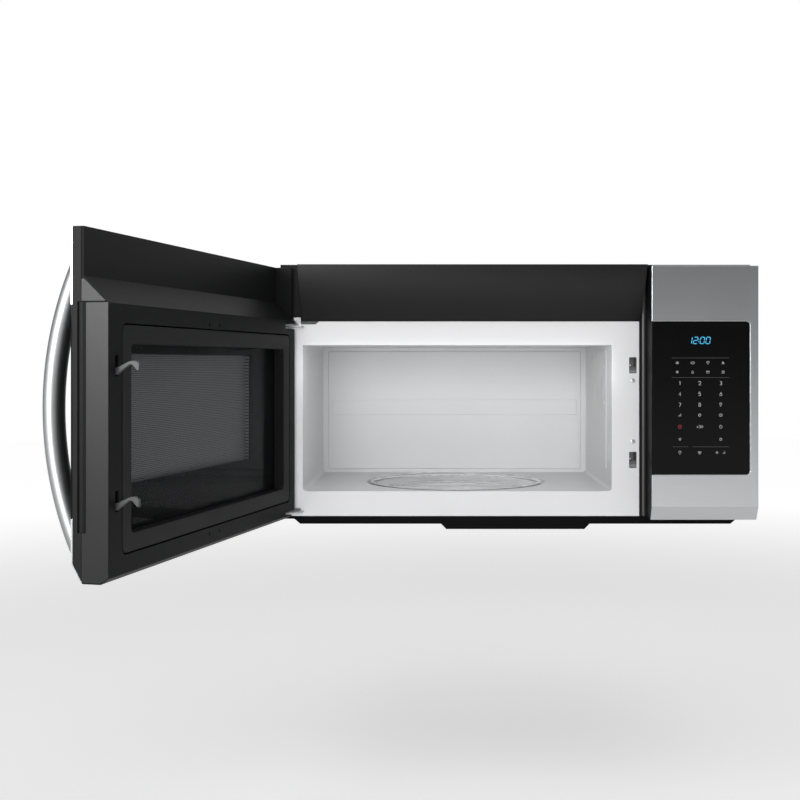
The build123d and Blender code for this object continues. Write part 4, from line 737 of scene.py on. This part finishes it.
def soften(piece, radius_mm):
    """Rounds a piece's edges by a small radius."""
    weld = piece.modifiers.new("weld", "WELD")
    weld.merge_threshold = 0.00001
    flat = piece.modifiers.new("whole faces", "DECIMATE")
    flat.decimate_type = "DISSOLVE"
    flat.angle_limit = math.radians(0.3)
    bevel = piece.modifiers.new("soft edges", "BEVEL")
    bevel.width = radius_mm * MM
    bevel.segments = 2
    bevel.limit_method = "ANGLE"
    bevel.angle_limit = math.radians(35)
    bevel.use_clamp_overlap = True
    bevel.harden_normals = True


for radius_mm, names in EDGE_RADII.items():
    for name in names:
        soften(nodes[name], radius_mm)
print("softened", sum(len(names) for names in EDGE_RADII.values()), "solids")

# %% [markdown]
# ## The door handle
#
# The handle is a bowed tube that runs into the door's face at both ends. The solid has its
# shape, but its facets show along the highlight. So it is drawn again as a smooth sweep: a
# soft oval carried along one arc, then cut off where it meets the door. The work is done
# with the door shut, where the numbers are simple, and the result is swung open.

# %% Shut and open places of the door
hinge = next(joint for joint in frame["joints"] if joint["name"] == "door_hinge")
hinge_place = Vector(hinge["pos_m"])
turning = Matrix.Rotation(-door_turn, 4, "Z")
swing = Matrix.Translation(hinge_place) @ turning @ Matrix.Translation(-hinge_place)
shut = swing.inverted()


def shut_box(name):
    """A door node's lowest and highest corner with the door shut."""
    places = [shut @ vertex.co for vertex in nodes[name].data.vertices]
    low = Vector([min(place[axis] for place in places) for axis in range(3)])
    high = Vector([max(place[axis] for place in places) for axis in range(3)])
    return low, high


# %% Making a piece, and joining rings of points
def make_piece(name, shape, body, material, place=None, smooth=True):
    """An object that rides on a body and takes a finish."""
    bmesh.ops.recalc_face_normals(shape, faces=shape.faces)
    if place is not None:
        bmesh.ops.transform(shape, matrix=place, verts=shape.verts)
    piece = as_object(name, shape)
    for polygon in piece.data.polygons:
        polygon.use_smooth = smooth
    piece.data.materials.append(material)
    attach(piece, body)
    return piece


def bridge(shape, rings):
    """Joins each ring to the next with faces. A ring may be a single point."""
    count = max(len(ring) for ring in rings)
    for first, second in zip(rings, rings[1:]):
        for index in range(count):
            after = (index + 1) % count
            corners = [first[index % len(first)], first[after % len(first)]]
            corners += [second[after % len(second)], second[index % len(second)]]
            unique = list(dict.fromkeys(corners))
            if len(unique) > 2:
                shape.faces.new(unique)


# %% Sweep along an arc
handle_thickness = 23.5 * MM
handle_fullness = 0.95
handle_run_in = 3.0 * MM
section_steps = 48
sweep_steps = 96


def oval_section(width, height, fullness):
    """Points of a soft oval: an ellipse at a fullness of 1, squarer below it."""
    points = []
    for step in range(section_steps):
        angle = math.tau * step / section_steps
        u, v = math.cos(angle), math.sin(angle)
        across = math.copysign(abs(u) ** fullness, u) * width / 2
        points.append((across, math.copysign(abs(v) ** fullness, v) * height / 2))
    return points


def build_handle():
    """The bowed bar, cut flush with the door's face and with the ends of its solid."""
    low, high = shut_box("door_handle")
    face_y = shut_box("door_skin")[0].y
    rise = face_y - low.y - handle_thickness / 2
    chord = (high.z - low.z) / 2 - handle_run_in
    radius = (chord**2 + rise**2) / (2 * rise)
    centre = Vector(((low.x + high.x) / 2, face_y - rise + radius, (low.z + high.z) / 2))
    section = oval_section(high.x - low.x, handle_thickness, handle_fullness)
    spread = math.asin((chord + 5 * handle_run_in) / radius)
    shape = bmesh.new()
    rings = []
    for step in range(sweep_steps + 1):
        angle = spread * (2 * step / sweep_steps - 1)
        outward = Vector((0, -math.cos(angle), math.sin(angle)))
        ring = [centre + outward * (radius + v) + Vector((u, 0, 0)) for u, v in section]
        rings.append([shape.verts.new(place) for place in ring])
    bridge(shape, rings)
    cuts = (((0, face_y, 0), (0, 1, 0)), ((0, 0, low.z), (0, 0, -1)), ((0, 0, high.z), (0, 0, 1)))
    for place, normal in cuts:
        everything = shape.verts[:] + shape.edges[:] + shape.faces[:]
        cut = bmesh.ops.bisect_plane(
            shape, geom=everything, plane_co=place, plane_no=normal, clear_outer=True
        )
        edges = [item for item in cut["geom_cut"] if isinstance(item, bmesh.types.BMEdge)]
        if edges:
            bmesh.ops.holes_fill(shape, edges=edges)
    handle = make_piece("swept_handle", shape, "door", FINISHES["door_handle"], swing)
    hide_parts("door_handle")
    print("handle bow radius", round(radius / MM), "mm, rise", round(rise / MM, 1), "mm")


build_handle()

# %% [markdown]
# ## Print on the touch panel
#
# The keys are only printed on the back of the glass: figures, thin rules and small signs. They
# could be a picture, but a picture blurs when one comes close. Here each mark is a flat ribbon
# of mesh along a line, laid a hair in front of the glass, so it stays sharp at any distance.
# The signs are plain ones that any oven could carry.

# %% Ribbons
print_lead = 0.00008
print_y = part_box("touch_panel_glass")[0].y - print_lead
slots_height = 40.0


def on_glass(x, height):
    """A point on the panel's print, from millimetres across and up from the lowest face."""
    return Vector((x * MM, print_y, (height - slots_height) * MM))


def ribbon(shape, points, width, closed=False):
    """A flat band of a width in millimetres along points on the panel."""
    count = len(points)
    left, right = [], []
    for index, point in enumerate(points):
        before = points[index - 1] if index or closed else point
        after = points[(index + 1) % count] if index < count - 1 or closed else point
        along = Vector((after[0] - before[0], after[1] - before[1])).normalized()
        side = Vector((-along.y, along.x)) * width / 2
        left.append(shape.verts.new(on_glass(point[0] + side.x, point[1] + side.y)))
        right.append(shape.verts.new(on_glass(point[0] - side.x, point[1] - side.y)))
    for index in range(count if closed else count - 1):
        after = (index + 1) % count
        shape.faces.new((left[index], left[after], right[after], right[index]))


circle_steps = 24


def arc(x, height, radius, start=0.0, end=360.0):
    """Points along a circle's arc, angles in degrees from the right. A whole circle isn't closed."""
    count = circle_steps if end - start >= 360 else circle_steps + 1
    turns = [math.radians(start + (end - start) * step / circle_steps) for step in range(count)]
    return [(x + radius * math.cos(a), height + radius * math.sin(a)) for a in turns]


# %% Figures of the keypad
FIGURE_STROKES = {
    "0": [arc(0, 0.5, 0.34)],
    "1": [[(-0.18, 0.78), (0.06, 1.0), (0.06, 0.0)]],
    "2": [arc(0, 0.7, 0.3, 165, -35) + [(-0.3, 0.0), (0.32, 0.0)]],
    "3": [arc(0, 0.75, 0.25, 150, -90) + arc(0, 0.27, 0.27, 90, -150)],
    "4": [[(0.32, 0.28), (-0.34, 0.28), (0.14, 1.0), (0.14, 0.0)]],
    "5": [[(0.28, 1.0), (-0.22, 1.0), (-0.26, 0.56)] + arc(0, 0.32, 0.31, 130, -150)],
    "6": [[(0.2, 1.0), (-0.26, 0.44)], arc(0, 0.3, 0.3)],
    "7": [[(-0.3, 1.0), (0.32, 1.0), (-0.06, 0.0)]],
    "8": [arc(0, 0.76, 0.24), arc(0, 0.27, 0.28)],
    "9": [[(-0.2, 0.0), (0.26, 0.56)], arc(0, 0.7, 0.3)],
    "+": [[(-0.3, 0.45), (0.3, 0.45)], [(0, 0.15), (0, 0.75)]],
}


def draw(shape, strokes, x, height, size, width):
    """Draws strokes given in units of a size, standing at x and height; a whole circle is closed."""
    for stroke in strokes:
        points = [(x + u * size, height + v * size) for u, v in stroke]
        ribbon(shape, points, width, closed=len(points) == circle_steps)


def figures(shape, text, x, height, size, width):
    """Draws figures in a row around x."""
    pitch = size * 0.78
    for index, mark in enumerate(text):
        place = x + (index - (len(text) - 1) / 2) * pitch
        draw(shape, FIGURE_STROKES[mark], place, height - size / 2, size, width)


# %% Signs of the keypad
def spokes(count, length):
    """Straight rays around a middle, the first one upright."""
    turns = [math.radians(90 + 360 * index / count) for index in range(count)]
    return [[(0.0, 0.0), (length * math.cos(a), length * math.sin(a))] for a in turns]


rising_wisps = [[(x, -0.2), (x + 0.15, 0.2), (x, 0.7)] for x in (-0.45, 0.05, 0.5)]
SIGNS = {
    "kernels": [arc(-0.35, -0.15, 0.33), arc(0.35, -0.15, 0.33), arc(0, 0.4, 0.33)],
    "tuber": [[(u * 1.35, v * 0.8) for u, v in arc(0, 0, 0.7)]],
    "slice": [[(-0.75, 0.5), (0, -0.8), (0.75, 0.5)], arc(0, -0.6, 1.33, 55.5, 124.5)],
    "leaf": [arc(-0.5, -0.5, 1.1, 5, 85), arc(0.6, 0.6, 1.1, 185, 265), [(-0.7, -0.7), (0.25, 0.25)]],
    "flake": spokes(6, 0.85),
    "drop": [arc(0, -0.25, 0.5, -215, 35) + [(0, 0.85), (-0.41, 0.04)]],
    "pot": [[(-0.6, 0.4), (-0.6, -0.6), (0.6, -0.6), (0.6, 0.4)], [(-0.95, 0.4), (0.95, 0.4)]],
    "steam": [[(-0.9, -0.6), (0.9, -0.6)], *rising_wisps],
    "bars": [[(x, -0.7), (x, top)] for x, top in ((-0.5, -0.2), (0.0, 0.25), (0.5, 0.8))],
    "clock": [arc(0, 0, 0.8), [(0, 0.5), (0, 0), (0.38, -0.2)]],
    "stop": [arc(0, 0, 0.8), [(-0.35, 0), (0.35, 0)]],
    "start": [[(0, 0.8), (0.8, 0), (0, -0.8), (-0.8, 0), (0, 0.8)]],
    "lamp": [arc(0, 0.2, 0.55, -60, 240), [(-0.25, -0.5), (0.25, -0.5)], [(-0.2, -0.8), (0.2, -0.8)]],
    "fan": [arc(0.38 * math.cos(a), 0.38 * math.sin(a), 0.38) for a in (0.5, 2.6, 4.7)],
}
FUNCTION_COLUMNS = (251.5, 275.6, 299.7, 323.5)
FUNCTION_ROWS = (
    (268.4, ("kernels", "tuber", "slice", "leaf")),
    (254.1, ("flake", "drop", "pot", "steam")),
)
FIGURE_COLUMNS = (255.6, 286.7, 319.9)
FIGURE_ROWS = (("123", 236.6), ("456", 219.6), ("789", 202.6))
left_column, middle_column, right_column = FIGURE_COLUMNS
zero_row, start_row, fan_row, lamp_row = 186.3, 168.0, 148.2, 127.4
figure_size, figure_line = 5.6, 0.62
sign_size = 2.9
# Sign, distance across, height, size and width of line.
SMALL_SIGNS = (
    ("bars", left_column, zero_row, sign_size, 0.5),
    ("clock", right_column, zero_row, sign_size, 0.5),
    ("start", right_column, start_row, 3.4, 0.55),
    ("fan", left_column, fan_row, 2.4, 0.45),
    ("clock", right_column, fan_row, 2.4, 0.45),
    ("lamp", left_column, lamp_row, 3.2, 0.5),
    ("fan", middle_column, lamp_row, 3.2, 0.5),
    ("fan", right_column - 6, lamp_row, 2.2, 0.45),
    ("bars", right_column + 5, lamp_row, 2.6, 0.45),
)
# Height, left end and right end of the lines between the groups of keys.
RULES = ((276.2, 242.4, 333.2), (245.4, 242.4, 333.2), (136.5, 244.0, 268.8), (136.5, 276.1, 333.2))


def ink(name, color, glow=0.0):
    """Printing ink with a trace of the screen's dots in it."""
    material = finish(name, color, 0.5)
    dots = effect(material, "grain", "Mottle", Size=0.0004)
    tint(material, dots, tuple(part * 0.8 for part in color), 0.4)
    if glow:
        shader_input(material, "Emission Color").default_value = (*color, 1)
        shader_input(material, "Emission Strength").default_value = glow
    return material


def printed(name, shape, material):
    """A flat piece of print on the panel."""
    make_piece(name, shape, "cabinet", material, smooth=False)


rules = bmesh.new()
for height, left, right in RULES:
    ribbon(rules, [(left, height), (right, height)], 0.4)
printed("keypad_rules", rules, ink("dim rule ink", (0.07, 0.07, 0.075)))

keys = bmesh.new()
for height, names in FUNCTION_ROWS:
    for x, name in zip(FUNCTION_COLUMNS, names):
        draw(keys, SIGNS[name], x, height, sign_size, 0.5)
for text, height in FIGURE_ROWS:
    for x, mark in zip(FIGURE_COLUMNS, text):
        figures(keys, mark, x, height, figure_size, figure_line)
figures(keys, "0", middle_column, zero_row, figure_size, figure_line)
figures(keys, "+30", middle_column, start_row, 4.4, 0.5)
for name, *layout in SMALL_SIGNS:
    draw(keys, SIGNS[name], *layout)
printed("keypad_print", keys, ink("pale key ink", (0.5, 0.51, 0.53)))

stop = bmesh.new()
draw(stop, SIGNS["stop"], left_column, start_row, 3.4, 0.55)
printed("stop_print", stop, ink("red key ink", (0.3, 0.02, 0.04)))
print("keypad", len(SIGNS), "signs")

# %% [markdown]
# ### The clock
#
# The clock glows blue-green behind a pane of its own. Its figures have seven slanted bars each,
# so a table of which bars are lit is all that a figure needs.

# %% Clock figures
clock_height = 10.2
clock_width = 6.2
clock_slant = 0.16
clock_stroke = 1.05
clock_centre = (286.4, 303.8)
clock_left = clock_centre[0] - clock_width / 4
CLOCK_FIGURES = ((-16.6, "1"), (-7.6, "2"), (3.0, "0"), (12.0, "0"))
colon_offset, colon_half, colon_heights = 0.4, 0.6, (0.32, 0.68)
bar_gap = 0.1
pane_x, pane_height = (269.0, 311.0), (291.4, 313.7)
pane_setback = Vector((0, print_lead / 2, 0))
SEGMENTS = {
    "a": ((0, 1), (1, 1)),
    "b": ((1, 1), (1, 0.5)),
    "c": ((1, 0.5), (1, 0)),
    "d": ((0, 0), (1, 0)),
    "e": ((0, 0.5), (0, 0)),
    "f": ((0, 1), (0, 0.5)),
    "g": ((0, 0.5), (1, 0.5)),
}
LIT = {"1": "bc", "2": "abged", "0": "abcdef"}


def clock_point(x, u, v):
    """A place in a figure: u across and v up, slanted to the right."""
    up = (v - 0.5) * clock_height
    return x + u * clock_width + up * clock_slant, clock_centre[1] + up


pane = bmesh.new()
corners = [(x, pane_height[0]) for x in pane_x] + [(x, pane_height[1]) for x in reversed(pane_x)]
pane.faces.new([pane.verts.new(on_glass(*corner) + pane_setback) for corner in corners])
printed("clock_window", pane, FINISHES["black_glass"])

clock = bmesh.new()
for offset, mark in CLOCK_FIGURES:
    for key in LIT[mark]:
        start, end = (Vector(clock_point(clock_left + offset, u, v)) for u, v in SEGMENTS[key])
        short = (end - start) * bar_gap
        ribbon(clock, [tuple(start + short), tuple(end - short)], clock_stroke)
for v in colon_heights:
    x, height = clock_point(clock_left + colon_offset, 0, v)
    ribbon(clock, [(x - colon_half, height), (x + colon_half, height)], 2 * colon_half)
printed("clock_figures", clock, ink("clock glow", (0.05, 0.36, 0.6), glow=0.75))
print("clock figures", clock_height, "mm high")

# %% [markdown]
# ## Screws in the frame
#
# Two pan-head screws hold the latch housing. A solid's plain disc says nothing about a screw:
# it needs its dome and its cross. The head is turned from a profile, and a cross-shaped cutter
# is taken out of it.

# %% Cross-head screws
turned_steps = 32
shank_radius = 0.0016


def lathe(profile):
    """A shape turned about Z from (radius, height) points, in metres."""
    shape = bmesh.new()
    turns = [math.tau * step / turned_steps for step in range(turned_steps)]
    rings = []
    for radius, height in profile:
        angles = turns if radius else [0.0]
        ring = [(radius * math.cos(a), radius * math.sin(a), height) for a in angles]
        rings.append([shape.verts.new(place) for place in ring])
    bridge(shape, rings)
    return shape


def push_out(shape, face, step):
    """Makes a prism by moving a copy of a face by a step."""
    moved = bmesh.ops.extrude_face_region(shape, geom=[face])["geom"]
    corners = [item for item in moved if isinstance(item, bmesh.types.BMVert)]
    bmesh.ops.translate(shape, vec=step, verts=corners)


def cross_cutter(size, width, depth):
    """A plus-shaped prism to cut out of a screw's head."""
    a, b = size / 2, width / 2
    outline = [(a, -b), (a, b), (b, b), (b, a), (-b, a), (-b, b)]
    outline += [(-x, -y) for x, y in outline]
    shape = bmesh.new()
    face = shape.faces.new([shape.verts.new((x, y, -depth)) for x, y in outline])
    push_out(shape, face, (0, 0, 3 * depth))
    return shape


def cut_mesh(shape, cutter):
    """The first shape with the second one cut out of it, as a new bmesh."""
    for part in (shape, cutter):
        bmesh.ops.recalc_face_normals(part, faces=part.faces)
    body, tool = as_object("blank", shape), as_object("cutter", cutter)
    difference = body.modifiers.new("cut", "BOOLEAN")
    difference.operation = "DIFFERENCE"
    difference.object = tool
    bpy.context.view_layer.update()
    ready = body.evaluated_get(bpy.context.evaluated_depsgraph_get())
    result = bmesh.new()
    result.from_mesh(ready.to_mesh())
    ready.to_mesh_clear()
    for item in (body, tool):
        bpy.data.objects.remove(item)
    return result


def screw_shape(radius, rise, length):
    """A pan head with its cross, and a plain shank, pointing along -Z."""
    profile = [(0, -length), (shank_radius, -length), (shank_radius, 0), (radius, 0)]
    for angle in (math.radians(18 * step) for step in range(6)):
        profile.append((radius * (0.62 + 0.38 * math.cos(angle)), rise * (0.35 + 0.65 * math.sin(angle))))
    profile.append((0, rise))
    return cut_mesh(lathe(profile), cross_cutter(radius * 1.25, radius * 0.3, rise * 0.75))


def build_frame_screws():
    """Both screws of the latch housing in one piece."""
    low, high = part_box("frame_screws")
    frame_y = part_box("front_frame")[0].y
    radius = (high.x - low.x) / 2
    x = (low.x + high.x) / 2
    both = bmesh.new()
    facing = Matrix.Rotation(math.radians(90), 4, "X")
    for z in (low.z + radius, high.z - radius):
        screw = screw_shape(radius, frame_y - low.y, high.y - frame_y)
        bmesh.ops.transform(screw, matrix=Matrix.Translation((x, frame_y, z)) @ facing, verts=screw.verts)
        mesh = bpy.data.meshes.new("screw")
        screw.to_mesh(mesh)
        screw.free()
        both.from_mesh(mesh)
    steel = FINISHES["screw_steel"]
    screws = make_piece("cross_head_screws", both, "cabinet", steel, smooth=False)
    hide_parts("frame_screws")
    print("screws of radius", round(radius / MM, 1), "mm")


build_frame_screws()

# %% [markdown]
# ## Trim beside the mouth
#
# Between the white frame and the panel runs a soft grey bead, which the shut door presses on,
# and a short dark tongue hangs from the vent cover over the frame's left corner. Both are
# mouldings a few millimetres thick. A rounded bar can be a row of rings that shrink to a point
# at its ends, and a plate an outline pushed out by its thickness. The shade in the slit along the
# mica cover is painted with such dark plates too.

# %% Rounded bar and thin plate
bar_steps, dome_steps = 12, 6


def half_round_bar(x, z, depth, back_y):
    """A bar along Z with a half-round front and domed ends, standing on a plane."""
    shape = bmesh.new()
    middle, radius = (x[0] + x[1]) / 2, (x[1] - x[0]) / 2
    bends = [math.pi / 2 * step / dome_steps for step in range(dome_steps + 1)]
    levels = [(z[0] + radius * (1 - math.cos(bend)), math.sin(bend)) for bend in bends]
    levels += [(z[0] + z[1] - height, scale) for height, scale in reversed(levels)]
    turns = [math.pi * step / bar_steps for step in range(bar_steps + 1)]
    rings = []
    for height, scale in levels:
        size = max(scale, 0.02)
        across, forward = size * radius, size * depth
        ring = [(middle + across * math.cos(a), back_y - forward * math.sin(a), height) for a in turns]
        rings.append([shape.verts.new(Vector(place) * MM) for place in ring])
    bridge(shape, rings)
    for ring in (rings[0], rings[-1]):
        shape.faces.new(ring)
    return shape


def add_plate(shape, places, step):
    """Adds a flat outline of places that is pushed out by a step, all in millimetres."""
    face = shape.faces.new([shape.verts.new(Vector(place) * MM) for place in places])
    push_out(shape, face, Vector(step) * MM)


# %% Bead, tongue and the painted shade in the mica cover's slit
frame_low, frame_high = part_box("front_frame")
front_plane = frame_low.y / MM
flange_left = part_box("control_frame")[0].x / MM
bead_x = (flange_left + 4.2, flange_left + 10.6)
bead_z = (frame_low.z / MM - 0.5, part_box("vent_cover")[1].z / MM - 1.0)
bead_depth = 2.3
bead = half_round_bar(bead_x, bead_z, bead_depth, front_plane)
make_piece("panel_bead", bead, "cabinet", soft_trim)

tongue_thickness = 0.8
tongue_top = frame_high.z / MM
tongue_foot = tongue_top - 4.6
tongue_outline = [(-348.5, tongue_top), (-317.0, tongue_top)]
tongue_outline += [(-322.5, tongue_foot), (-348.5, tongue_foot)]
tongue_places = [(x, front_plane - tongue_thickness, z) for x, z in tongue_outline]
tongue = bmesh.new()
add_plate(tongue, tongue_places, (0, tongue_thickness, 0))
make_piece("vent_tongue", tongue, "cabinet", soft_trim, smooth=False)

# The painted shade in the slit is in three lengths, given by their top and bottom above the lowest face.
SLIT_SHADES = ((286.9, 265.0), (260.0, 204.3), (199.3, 179.0))
slit_thickness, slit_width, slit_lead = 0.3, 0.7, 0.8
cover_low, cover_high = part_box("mica_cover")
slit_front = cover_low.y / MM - slit_lead
slit_x = cover_high.x / MM - slit_thickness
slit_shade = bmesh.new()
for top, bottom in SLIT_SHADES:
    low, high = bottom - slots_height, top - slots_height
    outline = [(slit_front, low), (slit_front + slit_width, low)]
    outline += [(slit_front + slit_width, high), (slit_front, high)]
    add_plate(slit_shade, [(slit_x, y, z) for y, z in outline], (slit_thickness, 0, 0))
make_piece("mica_slit_shade", slit_shade, "cabinet", soft_trim, smooth=False)
print("bead", [round(v, 1) for v in bead_x], "tongue under", round(tongue_top, 1))
